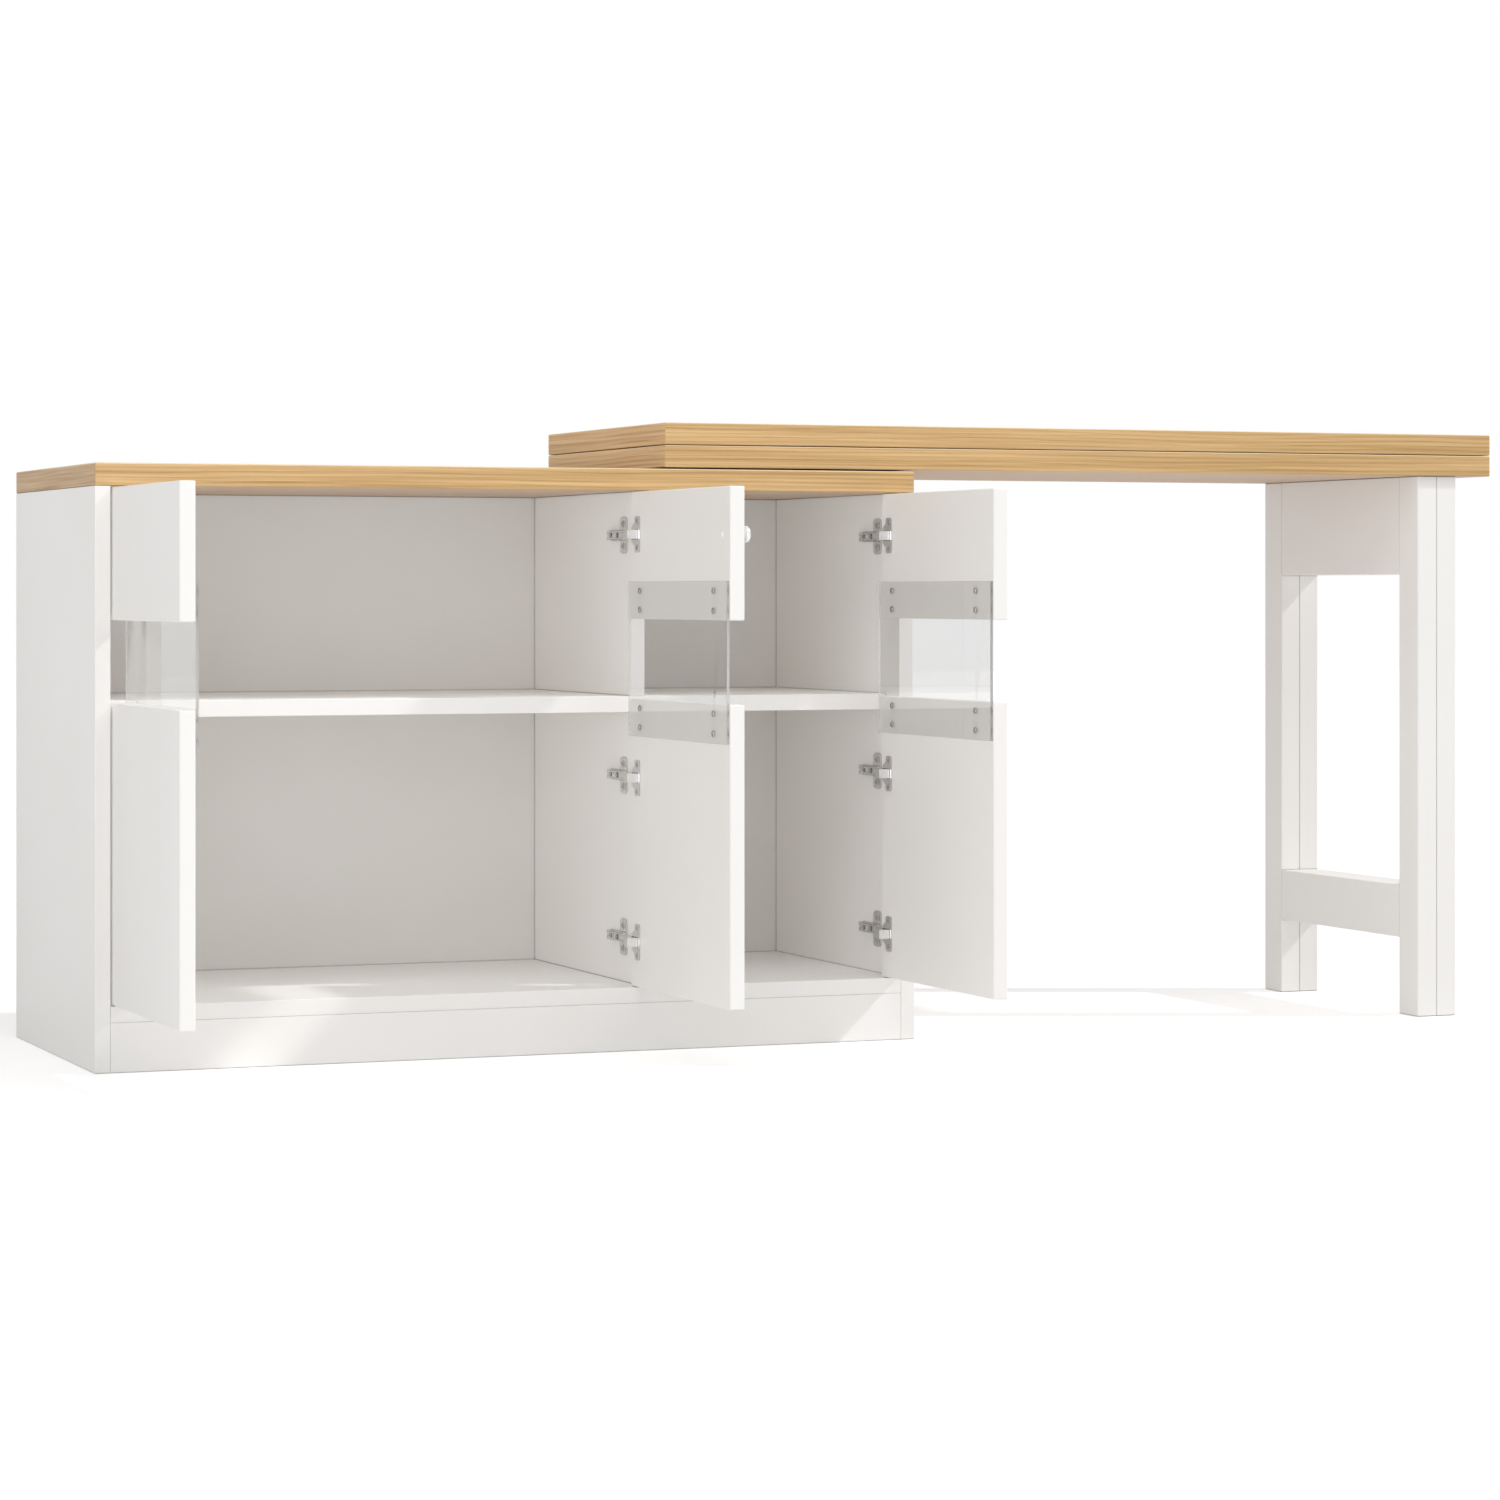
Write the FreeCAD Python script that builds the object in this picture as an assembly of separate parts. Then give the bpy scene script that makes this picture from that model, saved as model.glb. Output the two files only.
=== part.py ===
import FreeCAD, Part
import os

# Bar table: a storage cabinet with three doors, and a raised bar that swivels on top of it.
# X runs along the front from the cabinet's left side, Y runs from the front to the back and
# Z runs up from the floor. All lengths are in millimetres.

# Cabinet carcass
cabinet_width = 1420.0
cabinet_depth = 600.0
cabinet_height = 970.0
top_thickness = 37.0
panel_thickness = 25.0
bottom_board_thickness = 26.4
bottom_board_top = 106.0
plinth_thickness = 20.0
shelf_thickness = 27.0
shelf_above_lower_panels = 2.5
inner_front_setback = 58.9
divider_inside_door_edge = 7.8
back_recess = 23.5
back_panel_thickness = 9.0
back_groove_depth = 6.0
back_groove_clearance = 0.2
back_rail_height = 80.0
panel_edge_round = 1.0
top_edge_round = 2.5

# Carcass joints
dowel_radius = 4.0
dowel_length = 30.0
divider_dowel_length = 24.0
dowel_margin = 70.0
dowel_clearance = 0.05
side_dowel_count = 3
cam_radius = 7.5
cam_depth = 12.0
cam_setback = 34.0
cam_bolt_radius = 3.0
cam_bolt_bite = 11.0
cam_clearance = 0.1
cam_margin = 150.0

# Doors
door_thickness = 25.0
door_side_gap = 3.0
door_gap_below = 1.5
door_gap_above = 2.0
door_edge_round = 2.0
upper_panel_height = 211.8
window_height = 132.4
open_angle = 90.0

# Clear plate that joins the two panels of a door
plate_thickness = 5.0
plate_inset = 1.5
plate_overlap = 62.5
plate_edge_round = 0.6
plate_screw_edge = 15.6
plate_screw_pitch = 31.6
plate_screw_from_hinge = 55.0
plate_screw_from_free = 60.0
plate_screw_head_radius = 4.5
plate_screw_head_height = 2.2
plate_screw_head_round = 1.4
plate_screw_radius = 2.0
plate_screw_bite = 12.0
plate_hole_clearance = 0.3

# Knob on the middle door
knob_from_free = 35.0
knob_below_door_top = 76.0
knob_radius = 14.0
knob_projection = 22.0
knob_neck_radius = 6.0
knob_base_radius = 8.5
knob_base_height = 2.5
knob_neck_height = 9.0
knob_screw_radius = 2.0
knob_screw_bite = 12.0
knob_screw_head_radius = 4.5
knob_screw_head_height = 2.4

# Hinge pivot, measured on a closed door, and where the three hinges of a door sit
pivot_from_edge = 9.0
pivot_from_face = 8.7
top_hinge_below_door_top = 71.0
middle_hinge_below_window = 131.8
low_hinge_above_door_bottom = 74.5

# Hinge cup in the door
cup_from_edge = 22.5
cup_radius = 17.5
cup_wall = 1.0
cup_depth = 20.0
cup_nose_half_height = 11.0
cup_clearance = 0.1
flange_thickness = 1.2
flange_rim = 2.0
wing_offset = 9.0
wing_width = 25.0
wing_half_height = 30.0
wing_corner_round = 6.0
cup_screw_offset = 22.5
cup_screw_head_radius = 3.8
cup_screw_head_height = 1.0
cup_screw_radius = 1.8
cup_screw_bite = 11.0

# Hinge pin and arm
pin_radius = 1.2
pin_clearance = 0.05
knuckle_radius = 2.4
arm_thickness = 3.0
arm_height = 13.0
arm_drop = 2.2
arm_standoff = 19.3
arm_rear = 150.0
arm_corner_round = 1.2

# Hinge mounting plate on the carcass
mount_height = 8.0
mount_base_thickness = 2.4
mount_wing_front = 84.0
mount_wing_width = 30.0
mount_wing_half_height = 30.0
mount_wing_round = 7.0
mount_spine_half_height = 8.0
mount_spine_rear = 165.0
mount_screw_offset = 19.0
mount_screw_radius = 2.0
mount_screw_head_radius = 4.0
mount_screw_head_height = 2.0
mount_screw_bite = 13.0
arm_screw_setback = 14.0
arm_screw_pitch = 30.0
arm_screw_radius = 2.4
arm_screw_head_radius = 4.2
arm_screw_head_height = 1.6
arm_screw_bite = 6.0

# Screws sit in their holes with this much room all round
screw_clearance = 0.05

# Bar top
bar_overlap = 455.0
bar_length = 1593.0
leaf_thickness = 37.0
leaf_edge_round = 2.0
leaf_gap = 0.9
bar_lift = 2.6
leaf_screw_radius = 2.5
leaf_screw_head_radius = 4.8
leaf_screw_head_depth = 2.6
leaf_screw_length = 58.0
leaf_screw_margin = 90.0
leaf_screw_count = 4
leaf_spacer_radius = 14.0

# Swivel under the bar
swivel_plate_radius = 150.0
lower_swivel_thickness = 1.2
swivel_gap = 0.3
swivel_bolt_radius = 6.0
swivel_bolt_clearance = 0.05
swivel_hole_clearance = 0.3
swivel_bolt_head_radius = 11.0
swivel_bolt_head_height = 6.0
swivel_bolt_rise = 30.0
bush_wall = 3.0
bush_headroom = 2.0
swivel_screw_circle = 125.0
swivel_screw_head_radius = 4.2
swivel_screw_head_depth = 2.4
swivel_screw_radius = 2.0
swivel_screw_length = 20.0
swivel_screw_count = 6

# Leg frame under the far end of the bar
leg_overhang = 65.5
post_board_thickness = 39.3
post_width = 65.7
front_post_setback = 9.8
rear_post_setback = 20.6
leg_edge_round = 2.0
apron_height = 177.3
stretcher_bottom = 138.4
stretcher_height = 94.8
leg_dowel_radius = 5.0
leg_dowel_length = 60.0
leg_dowel_margin = 22.0
post_top_dowel_length = 40.0

# Sizes worked out from the ones above
top_underside = cabinet_height - top_thickness
inner_left = panel_thickness
inner_right = cabinet_width - panel_thickness
bottom_board_underside = bottom_board_top - bottom_board_thickness
back_panel_rear = cabinet_depth - back_recess
back_panel_front = back_panel_rear - back_panel_thickness
door_count = 3
door_width = (inner_right - inner_left - (door_count + 1) * door_side_gap) / door_count
door_bottom = bottom_board_top + door_gap_below
door_top = top_underside - door_gap_above
upper_panel_bottom = door_top - upper_panel_height
lower_panel_top = upper_panel_bottom - window_height
plate_bottom = lower_panel_top - plate_overlap
plate_top = upper_panel_bottom + plate_overlap
hinge_heights = (door_bottom + low_hinge_above_door_bottom,
                 lower_panel_top - middle_hinge_below_window,
                 door_top - top_hinge_below_door_top)
knob_height = door_top - knob_below_door_top
shelf_top = lower_panel_top + shelf_above_lower_panels
shelf_bottom = shelf_top - shelf_thickness
left_door_edge = inner_left + door_side_gap
right_door_edge = inner_right - door_side_gap
middle_door_edge = right_door_edge - door_width - door_side_gap
divider_left_face = middle_door_edge - divider_inside_door_edge
divider_right_face = divider_left_face + panel_thickness
bar_left = cabinet_width - bar_overlap
bar_depth = cabinet_depth
bar_right = bar_left + bar_length
bar_underside = cabinet_height + bar_lift
lower_leaf_top = bar_underside + leaf_thickness
upper_leaf_bottom = lower_leaf_top + leaf_gap
bar_top = upper_leaf_bottom + leaf_thickness
upper_swivel_thickness = bar_lift - lower_swivel_thickness - swivel_gap
swivel_x = (bar_left + cabinet_width) / 2
swivel_y = bar_depth / 2
leg_right = bar_right - leg_overhang
leg_middle = leg_right - post_board_thickness
leg_left = leg_middle - post_board_thickness
front_post_rear = front_post_setback + post_width
rear_post_rear = bar_depth - rear_post_setback
rear_post_front = rear_post_rear - post_width

# The part's origin is under the middle of its box, with the doors open
door_reach = pivot_from_face + pivot_from_edge - door_width
origin_shift = FreeCAD.Vector(-bar_right / 2, -(cabinet_depth + door_reach) / 2, 0)

along_x = FreeCAD.Vector(1, 0, 0)
along_y = FreeCAD.Vector(0, 1, 0)
along_z = FreeCAD.Vector(0, 0, 1)
centre_line = FreeCAD.Vector(0, 0, 0)


def block(x_low, x_high, y_low, y_high, z_low, z_high):
    corner = FreeCAD.Vector(x_low, y_low, z_low)
    return Part.makeBox(x_high - x_low, y_high - y_low, z_high - z_low, corner)


def board(x_low, x_high, y_low, y_high, z_low, z_high, edge_round):
    # A board with all its edges eased by a small radius
    plain = block(x_low, x_high, y_low, y_high, z_low, z_high)
    return plain.makeFillet(edge_round, plain.Edges)


def rod(start, direction, radius, length):
    return Part.makeCylinder(radius, length, start, direction)


def edges_along(shape, axis):
    # The straight edges of a shape that run along an axis
    found = []
    for edge in shape.Edges:
        if isinstance(edge.Curve, Part.Line):
            if abs(edge.Curve.Direction.dot(axis)) > abs(edge.Curve.Direction.cross(axis).Length):
                found.append(edge)
    return found


def row(low, high, count):
    # Evenly spaced places from low to high
    step = (high - low) / (count - 1)
    return [low + step * index for index in range(count)]


def pan_screw(point, direction, head_radius, head_height, shank_radius, bite, room):
    # A screw whose head stands on the surface at point, with its shank going along direction
    head_start = point - direction * (head_height + room)
    head = rod(head_start, direction, head_radius + room, head_height + room)
    shank = rod(point - direction * head_height / 2, direction, shank_radius + room,
                bite + head_height / 2 + room)
    return head.fuse(shank).removeSplitter()


def flat_screw(point, direction, head_radius, head_depth, shank_radius, length, room):
    # A countersunk screw whose head is flush with the surface at point
    head = Part.makeCone(head_radius + room, shank_radius + room, head_depth, point, direction)
    shank = rod(point, direction, shank_radius + room, length + room)
    return head.fuse(shank).removeSplitter()


def write(name, shapes):
    # Writes one node, which is one solid or a group of separate solids
    solids = []
    for shape in shapes:
        moved = shape.copy()
        moved.translate(origin_shift)
        solids.extend(moved.Solids)
    node = solids[0]
    if len(solids) > 1:
        node = Part.makeCompound(solids)
    node.exportStep("parts/" + name + ".step")


# Carcass joints: the dowels and the cam fittings, and the holes that hold them

def carcass_dowels(room):
    half = dowel_length / 2 + room
    short_half = divider_dowel_length / 2 + room
    radius = dowel_radius + room
    pegs = []
    side_centres = (panel_thickness / 2, cabinet_width - panel_thickness / 2)
    for y in row(dowel_margin, back_panel_front - dowel_margin, side_dowel_count):
        for x in side_centres:
            start = FreeCAD.Vector(x, y, top_underside - half)
            pegs.append(rod(start, along_z, radius, half + half))
        for x in (inner_left, inner_right):
            bottom_start = FreeCAD.Vector(x - half, y, bottom_board_top - bottom_board_thickness / 2)
            pegs.append(rod(bottom_start, along_x, radius, half + half))
            shelf_y = y + inner_front_setback / 2
            shelf_start = FreeCAD.Vector(x - half, shelf_y, shelf_top - shelf_thickness / 2)
            pegs.append(rod(shelf_start, along_x, radius, half + half))
    divider_centre = divider_left_face + panel_thickness / 2
    for y in (inner_front_setback + dowel_margin, back_panel_front - dowel_margin):
        for z in (top_underside, shelf_top, shelf_bottom, bottom_board_top):
            start = FreeCAD.Vector(divider_centre, y, z - short_half)
            pegs.append(rod(start, along_z, radius, short_half + short_half))
    return pegs


def cam_places():
    places = []
    for y in (cam_margin, back_panel_front - cam_margin):
        for underside, thickness in ((bottom_board_underside, bottom_board_thickness),
                                     (shelf_bottom, shelf_thickness)):
            places.append((inner_left, along_x, y, underside, thickness))
            places.append((inner_right, -along_x, y, underside, thickness))
    return places


def cam_fittings(room):
    # A round cam from below, and the bolt that it draws out of the side panel
    fittings = []
    for face, inward, y, underside, thickness in cam_places():
        cam_centre = FreeCAD.Vector(face, y, underside) + inward * cam_setback
        fittings.append(rod(cam_centre, along_z, cam_radius + room, cam_depth + room))
        bolt_start = FreeCAD.Vector(face, y, underside + thickness / 2)
        bolt_start = bolt_start - inward * (cam_bolt_bite + room)
        bolt_length = cam_bolt_bite + room + cam_setback - cam_radius
        fittings.append(rod(bolt_start, inward, cam_bolt_radius + room, bolt_length))
    return fittings


# Hinges, drawn for a closed door that is hinged on its left: x runs from the door's hinge
# edge, y runs from its outer face into the cabinet. A door hinged on its right is a mirror image

def place_on_door(shape, hinge_edge, hinged_left):
    moved = shape.copy()
    if not hinged_left:
        moved = moved.mirror(centre_line, along_x)
    moved.translate(FreeCAD.Vector(hinge_edge, 0, 0))
    return moved


def swing_open(shape, hinge_edge, hinged_left):
    moved = place_on_door(shape, hinge_edge, hinged_left)
    pivot_x = hinge_edge - pivot_from_edge
    turn = open_angle
    if hinged_left:
        pivot_x = hinge_edge + pivot_from_edge
        turn = -open_angle
    moved.rotate(FreeCAD.Vector(pivot_x, pivot_from_face, 0), along_z, turn)
    return moved


def cup_outline(height, room):
    # The cup's body: round, with a square nose towards the hinge edge for the pin
    inner = door_thickness - cup_depth - room
    depth = cup_depth + room
    radius = cup_radius + room
    nose = cup_nose_half_height + room
    bowl = rod(FreeCAD.Vector(cup_from_edge, inner, height), along_y, radius, depth)
    front = block(cup_from_edge - radius, cup_from_edge, inner, door_thickness,
                  height - nose, height + nose)
    return bowl.fuse(front)


def cup_pocket(height):
    floor = door_thickness - cup_depth + cup_wall
    depth = cup_depth - cup_wall + flange_thickness
    radius = cup_radius - cup_wall
    nose = cup_nose_half_height - cup_wall
    bowl = rod(FreeCAD.Vector(cup_from_edge, floor, height), along_y, radius, depth)
    front = block(cup_from_edge - radius, cup_from_edge, floor, floor + depth,
                  height - nose, height + nose)
    return bowl.fuse(front)


def cup_screw_places(height):
    x = cup_from_edge + wing_offset
    surface = door_thickness + flange_thickness
    return [FreeCAD.Vector(x, surface, height + side * cup_screw_offset) for side in (-1, 1)]


def cup_screw(point, room):
    return pan_screw(point, -along_y, cup_screw_head_radius, cup_screw_head_height,
                     cup_screw_radius, cup_screw_bite, room)


def pin(height, room):
    start = FreeCAD.Vector(pivot_from_edge, pivot_from_face, height - cup_nose_half_height)
    return rod(start, along_z, pin_radius + room, cup_nose_half_height * 2)


def hinge_cup(height):
    surface = door_thickness + flange_thickness
    rim = rod(FreeCAD.Vector(cup_from_edge, door_thickness, height), along_y,
              cup_radius + flange_rim, flange_thickness)
    wing_centre = cup_from_edge + wing_offset
    wing = block(wing_centre - wing_width / 2, wing_centre + wing_width / 2,
                 door_thickness, surface, height - wing_half_height, height + wing_half_height)
    wing = wing.makeFillet(wing_corner_round, edges_along(wing, along_y))
    nose_half = cup_nose_half_height + flange_rim
    nose = block(cup_from_edge - cup_radius, cup_from_edge, door_thickness, surface,
                 height - nose_half, height + nose_half)
    body = cup_outline(height, 0).fuse([rim, wing, nose]).cut(cup_pocket(height))
    holes = [cup_screw(point, screw_clearance) for point in cup_screw_places(height)]
    return body.cut(holes + [pin(height, pin_clearance)])


def hinge_arm(height, face_offset):
    # A goose-neck from the pin, out of the cup's mouth and back to the mounting plate
    x_out = pivot_from_edge + arm_standoff
    y_back = pivot_from_face + arm_standoff
    seat = face_offset + mount_height
    low = height - arm_height / 2
    high = height + arm_height / 2
    neck_front = pivot_from_face - arm_drop
    neck = block(pivot_from_edge, x_out + arm_thickness, neck_front, neck_front + arm_thickness,
                 low, high)
    riser = block(x_out, x_out + arm_thickness, neck_front, y_back + arm_thickness, low, high)
    crank = block(seat, x_out + arm_thickness, y_back, y_back + arm_thickness, low, high)
    tail = block(seat, seat + arm_thickness, y_back, arm_rear, low, high)
    bent = neck.fuse([riser, crank, tail]).removeSplitter()
    corners = []
    for edge in edges_along(bent, along_z):
        middle = edge.CenterOfMass
        if middle.x > x_out + arm_thickness / 2:
            corners.append(edge)
    bent = bent.makeFillet(arm_corner_round, corners)
    knuckle = rod(FreeCAD.Vector(pivot_from_edge, pivot_from_face, low), along_z,
                  knuckle_radius, arm_height)
    bent = bent.fuse(knuckle)
    holes = [pin(height, pin_clearance)]
    holes += [arm_screw(point, screw_clearance) for point in arm_screw_places(height, face_offset)]
    return bent.cut(holes)


def arm_screw_places(height, face_offset):
    surface = face_offset + mount_height + arm_thickness
    places = []
    for step in (0, 1):
        y = arm_rear - arm_screw_setback - step * arm_screw_pitch
        places.append(FreeCAD.Vector(surface, y, height))
    return places


def arm_screw(point, room):
    return pan_screw(point, -along_x, arm_screw_head_radius, arm_screw_head_height,
                     arm_screw_radius, arm_thickness + arm_screw_bite, room)


def mount_screw_places(height, face_offset):
    y = mount_wing_front + mount_wing_width / 2
    surface = face_offset + mount_base_thickness
    return [FreeCAD.Vector(surface, y, height + side * mount_screw_offset) for side in (-1, 1)]


def mount_screw(point, room):
    return pan_screw(point, -along_x, mount_screw_head_radius, mount_screw_head_height,
                     mount_screw_radius, mount_screw_bite, room)


def hinge_plate(height, face_offset):
    # A cross: two wings up and down, and a raised spine front to back that the arm sits on
    wings = block(face_offset, face_offset + mount_base_thickness,
                  mount_wing_front, mount_wing_front + mount_wing_width,
                  height - mount_wing_half_height, height + mount_wing_half_height)
    wings = wings.makeFillet(mount_wing_round, edges_along(wings, along_x))
    spine = block(face_offset, face_offset + mount_height, mount_wing_front, mount_spine_rear,
                  height - mount_spine_half_height, height + mount_spine_half_height)
    spine = spine.makeFillet(arm_corner_round, edges_along(spine, along_x))
    holes = [mount_screw(point, screw_clearance) for point in mount_screw_places(height, face_offset)]
    holes += [arm_screw(point, screw_clearance) for point in arm_screw_places(height, face_offset)]
    return wings.fuse(spine).cut(holes)


# The three doors: where each is hinged, and how far inside its edge the carcass face is
doors = {
    "left": (left_door_edge, True, inner_left - left_door_edge),
    "middle": (middle_door_edge, False, middle_door_edge - divider_left_face),
    "right": (right_door_edge, False, right_door_edge - inner_right),
}


def mount_screw_holes(names):
    holes = []
    for name in names:
        hinge_edge, hinged_left, face_offset = doors[name]
        for height in hinge_heights:
            for point in mount_screw_places(height, face_offset):
                hole = mount_screw(point, screw_clearance)
                holes.append(place_on_door(hole, hinge_edge, hinged_left))
    return holes


# Doors

def plate_screw_places():
    surface = door_thickness + plate_thickness
    heights = (plate_bottom + plate_screw_edge, plate_bottom + plate_screw_edge + plate_screw_pitch,
               plate_top - plate_screw_edge - plate_screw_pitch, plate_top - plate_screw_edge)
    places = []
    for x in (plate_screw_from_hinge, door_width - plate_screw_from_free):
        for z in heights:
            places.append(FreeCAD.Vector(x, surface, z))
    return places


def plate_screw(point, room):
    return pan_screw(point, -along_y, plate_screw_head_radius, plate_screw_head_height,
                     plate_screw_radius, plate_thickness + plate_screw_bite, room)


def domed_plate_screw(point):
    screw = plate_screw(point, 0)
    rim = [edge for edge in screw.Edges
           if edge.CenterOfMass.y > point.y + plate_screw_head_height / 2 and edge.isClosed()]
    return screw.makeFillet(plate_screw_head_round, rim)


def knob_point():
    return FreeCAD.Vector(door_width - knob_from_free, 0, knob_height)


def knob_screw(room):
    inner_face = knob_point() + along_y * door_thickness
    return pan_screw(inner_face, -along_y, knob_screw_head_radius, knob_screw_head_height,
                     knob_screw_radius, door_thickness + knob_screw_bite, room)


def knob():
    # Turned about the screw: a foot, a waist and a domed head
    waist = knob_base_height + (knob_neck_height - knob_base_height) / 2
    shoulder = knob_projection - knob_radius / 2
    outline = [
        FreeCAD.Vector(0, 0, 0),
        FreeCAD.Vector(knob_base_radius, 0, 0),
        FreeCAD.Vector(knob_base_radius, -knob_base_height, 0),
    ]
    foot = Part.makePolygon(outline).Edges
    waist_arc = Part.Arc(outline[-1], FreeCAD.Vector(knob_neck_radius, -waist, 0),
                         FreeCAD.Vector(knob_base_radius, -knob_neck_height, 0)).toShape()
    flare = Part.LineSegment(FreeCAD.Vector(knob_base_radius, -knob_neck_height, 0),
                             FreeCAD.Vector(knob_radius, -shoulder, 0)).toShape()
    dome_rise = knob_projection - shoulder
    dome_radius = (knob_radius ** 2 + dome_rise ** 2) / (2 * dome_rise)
    dome_centre = dome_radius - knob_projection
    dome_middle_x = knob_radius / 2
    dome_middle_y = dome_centre - (dome_radius ** 2 - dome_middle_x ** 2) ** 0.5
    tip = FreeCAD.Vector(0, -knob_projection, 0)
    dome = Part.Arc(FreeCAD.Vector(knob_radius, -shoulder, 0),
                    FreeCAD.Vector(dome_middle_x, dome_middle_y, 0), tip).toShape()
    axis = Part.LineSegment(tip, outline[0]).toShape()
    face = Part.Face(Part.Wire(foot + [waist_arc, flare, dome, axis]))
    turned = face.revolve(centre_line, along_y, 360)
    turned.translate(knob_point())
    return turned.cut(knob_screw(screw_clearance))


def door_panels(has_knob):
    upper = board(0, door_width, 0, door_thickness, upper_panel_bottom, door_top, door_edge_round)
    lower = board(0, door_width, 0, door_thickness, door_bottom, lower_panel_top, door_edge_round)
    holes = [plate_screw(point, screw_clearance) for point in plate_screw_places()]
    for height in hinge_heights:
        holes.append(cup_outline(height, cup_clearance))
        holes += [cup_screw(point, screw_clearance) for point in cup_screw_places(height)]
    if has_knob:
        holes.append(knob_screw(screw_clearance))
    return upper.cut(holes), lower.cut(holes)


def clear_plate():
    sheet = board(plate_inset, door_width - plate_inset, door_thickness,
                  door_thickness + plate_thickness, plate_bottom, plate_top, plate_edge_round)
    holes = []
    for point in plate_screw_places():
        start = point - along_y * plate_thickness
        holes.append(rod(start, along_y, plate_screw_radius + plate_hole_clearance, plate_thickness))
    return sheet.cut(holes)


def write_door(name):
    hinge_edge, hinged_left, face_offset = doors[name]
    has_knob = name == "middle"
    upper, lower = door_panels(has_knob)
    pieces = {
        name + "_door_upper_panel": [upper],
        name + "_door_lower_panel": [lower],
        name + "_door_clear_plate": [clear_plate()],
        name + "_door_plate_screws": [domed_plate_screw(point) for point in plate_screw_places()],
        name + "_hinge_cups": [hinge_cup(height) for height in hinge_heights],
        name + "_hinge_pins": [pin(height, 0) for height in hinge_heights],
        name + "_hinge_cup_screws": [cup_screw(point, 0) for height in hinge_heights
                                     for point in cup_screw_places(height)],
    }
    if has_knob:
        pieces["door_knob"] = [knob()]
        pieces["door_knob_screw"] = [knob_screw(0)]
    for node, shapes in pieces.items():
        write(node, [swing_open(shape, hinge_edge, hinged_left) for shape in shapes])


def write_hinge_mounts():
    screws = []
    for name, (hinge_edge, hinged_left, face_offset) in doors.items():
        plates = []
        arms = []
        for height in hinge_heights:
            plates.append(hinge_plate(height, face_offset))
            arms.append(hinge_arm(height, face_offset))
            loose = [mount_screw(point, 0) for point in mount_screw_places(height, face_offset)]
            loose += [arm_screw(point, 0) for point in arm_screw_places(height, face_offset)]
            screws += [place_on_door(screw, hinge_edge, hinged_left) for screw in loose]
        write(name + "_hinge_plates", [place_on_door(s, hinge_edge, hinged_left) for s in plates])
        write(name + "_hinge_arms", [place_on_door(s, hinge_edge, hinged_left) for s in arms])
    write("hinge_mount_screws", screws)


# Carcass

def side_panel(x_low, door_name):
    panel = board(x_low, x_low + panel_thickness, 0, cabinet_depth, 0, top_underside,
                  panel_edge_round)
    groove = block(inner_left - back_groove_depth, inner_right + back_groove_depth,
                   back_panel_front, back_panel_rear + back_groove_clearance,
                   bottom_board_underside, top_underside)
    return panel.cut(carcass_holes() + mount_screw_holes([door_name]) + [groove])


def carcass_holes():
    return carcass_dowels(dowel_clearance) + cam_fittings(cam_clearance)


def write_carcass():
    holes = carcass_holes()
    inner_groove_left = inner_left - back_groove_depth + back_groove_clearance
    inner_groove_right = inner_right + back_groove_depth - back_groove_clearance
    write("left_side_panel", [side_panel(0, "left")])
    write("right_side_panel", [side_panel(inner_right, "right")])
    bottom = board(inner_left, inner_right, 0, back_panel_front, bottom_board_underside,
                   bottom_board_top, panel_edge_round)
    write("bottom_board", [bottom.cut(holes)])
    write("front_plinth", [board(inner_left, inner_right, 0, plinth_thickness, 0,
                                 bottom_board_underside, panel_edge_round)])
    write("rear_plinth", [board(inner_left, inner_right, back_panel_rear - plinth_thickness,
                                back_panel_rear, 0, bottom_board_underside, panel_edge_round)])
    write("back_panel", [board(inner_groove_left, inner_groove_right, back_panel_front,
                               back_panel_rear, bottom_board_underside, top_underside,
                               panel_edge_round)])
    write("back_rail", [board(inner_left, inner_right, back_panel_rear, cabinet_depth,
                              top_underside - back_rail_height, top_underside,
                              panel_edge_round)])
    shelf = board(inner_left, inner_right, inner_front_setback, back_panel_front, shelf_bottom,
                  shelf_top, panel_edge_round)
    write("middle_shelf", [shelf.cut(holes)])
    divider_cuts = holes + mount_screw_holes(["middle"])
    for name, low, high in (("lower_divider", bottom_board_top, shelf_bottom),
                            ("upper_divider", shelf_top, top_underside)):
        divider = board(divider_left_face, divider_right_face, inner_front_setback,
                        back_panel_front, low, high, panel_edge_round)
        write(name, [divider.cut(divider_cuts)])
    write("carcass_dowels", carcass_dowels(0))
    write("cam_fittings", cam_fittings(0))


def write_cabinet_top():
    top = board(0, cabinet_width, 0, cabinet_depth, top_underside, cabinet_height, top_edge_round)
    cuts = carcass_holes() + [swivel_bolt(swivel_hole_clearance)]
    cuts += swivel_screw_set(cabinet_height + lower_swivel_thickness, -along_z, screw_clearance)
    write("cabinet_top", [top.cut(cuts)])


# Swivel between the cabinet top and the bar

def swivel_bolt(room):
    # The head is under the cabinet top, and the shank stands up into the bar's lower leaf
    centre = FreeCAD.Vector(swivel_x, swivel_y, top_underside - swivel_bolt_head_height)
    head = rod(centre, along_z, swivel_bolt_head_radius, swivel_bolt_head_height)
    shank_length = swivel_bolt_head_height + top_thickness + bar_lift + swivel_bolt_rise
    shank = rod(centre, along_z, swivel_bolt_radius + room, shank_length)
    return head.fuse(shank).removeSplitter()


def swivel_bush_body():
    start = FreeCAD.Vector(swivel_x, swivel_y, bar_underside)
    return rod(start, along_z, swivel_bolt_radius + swivel_bolt_clearance + bush_wall,
               swivel_bolt_rise + bush_headroom)


def swivel_bush():
    start = FreeCAD.Vector(swivel_x, swivel_y, bar_underside)
    bore = rod(start, along_z, swivel_bolt_radius + swivel_bolt_clearance,
               swivel_bolt_rise + bush_headroom)
    return swivel_bush_body().cut(bore)


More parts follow.
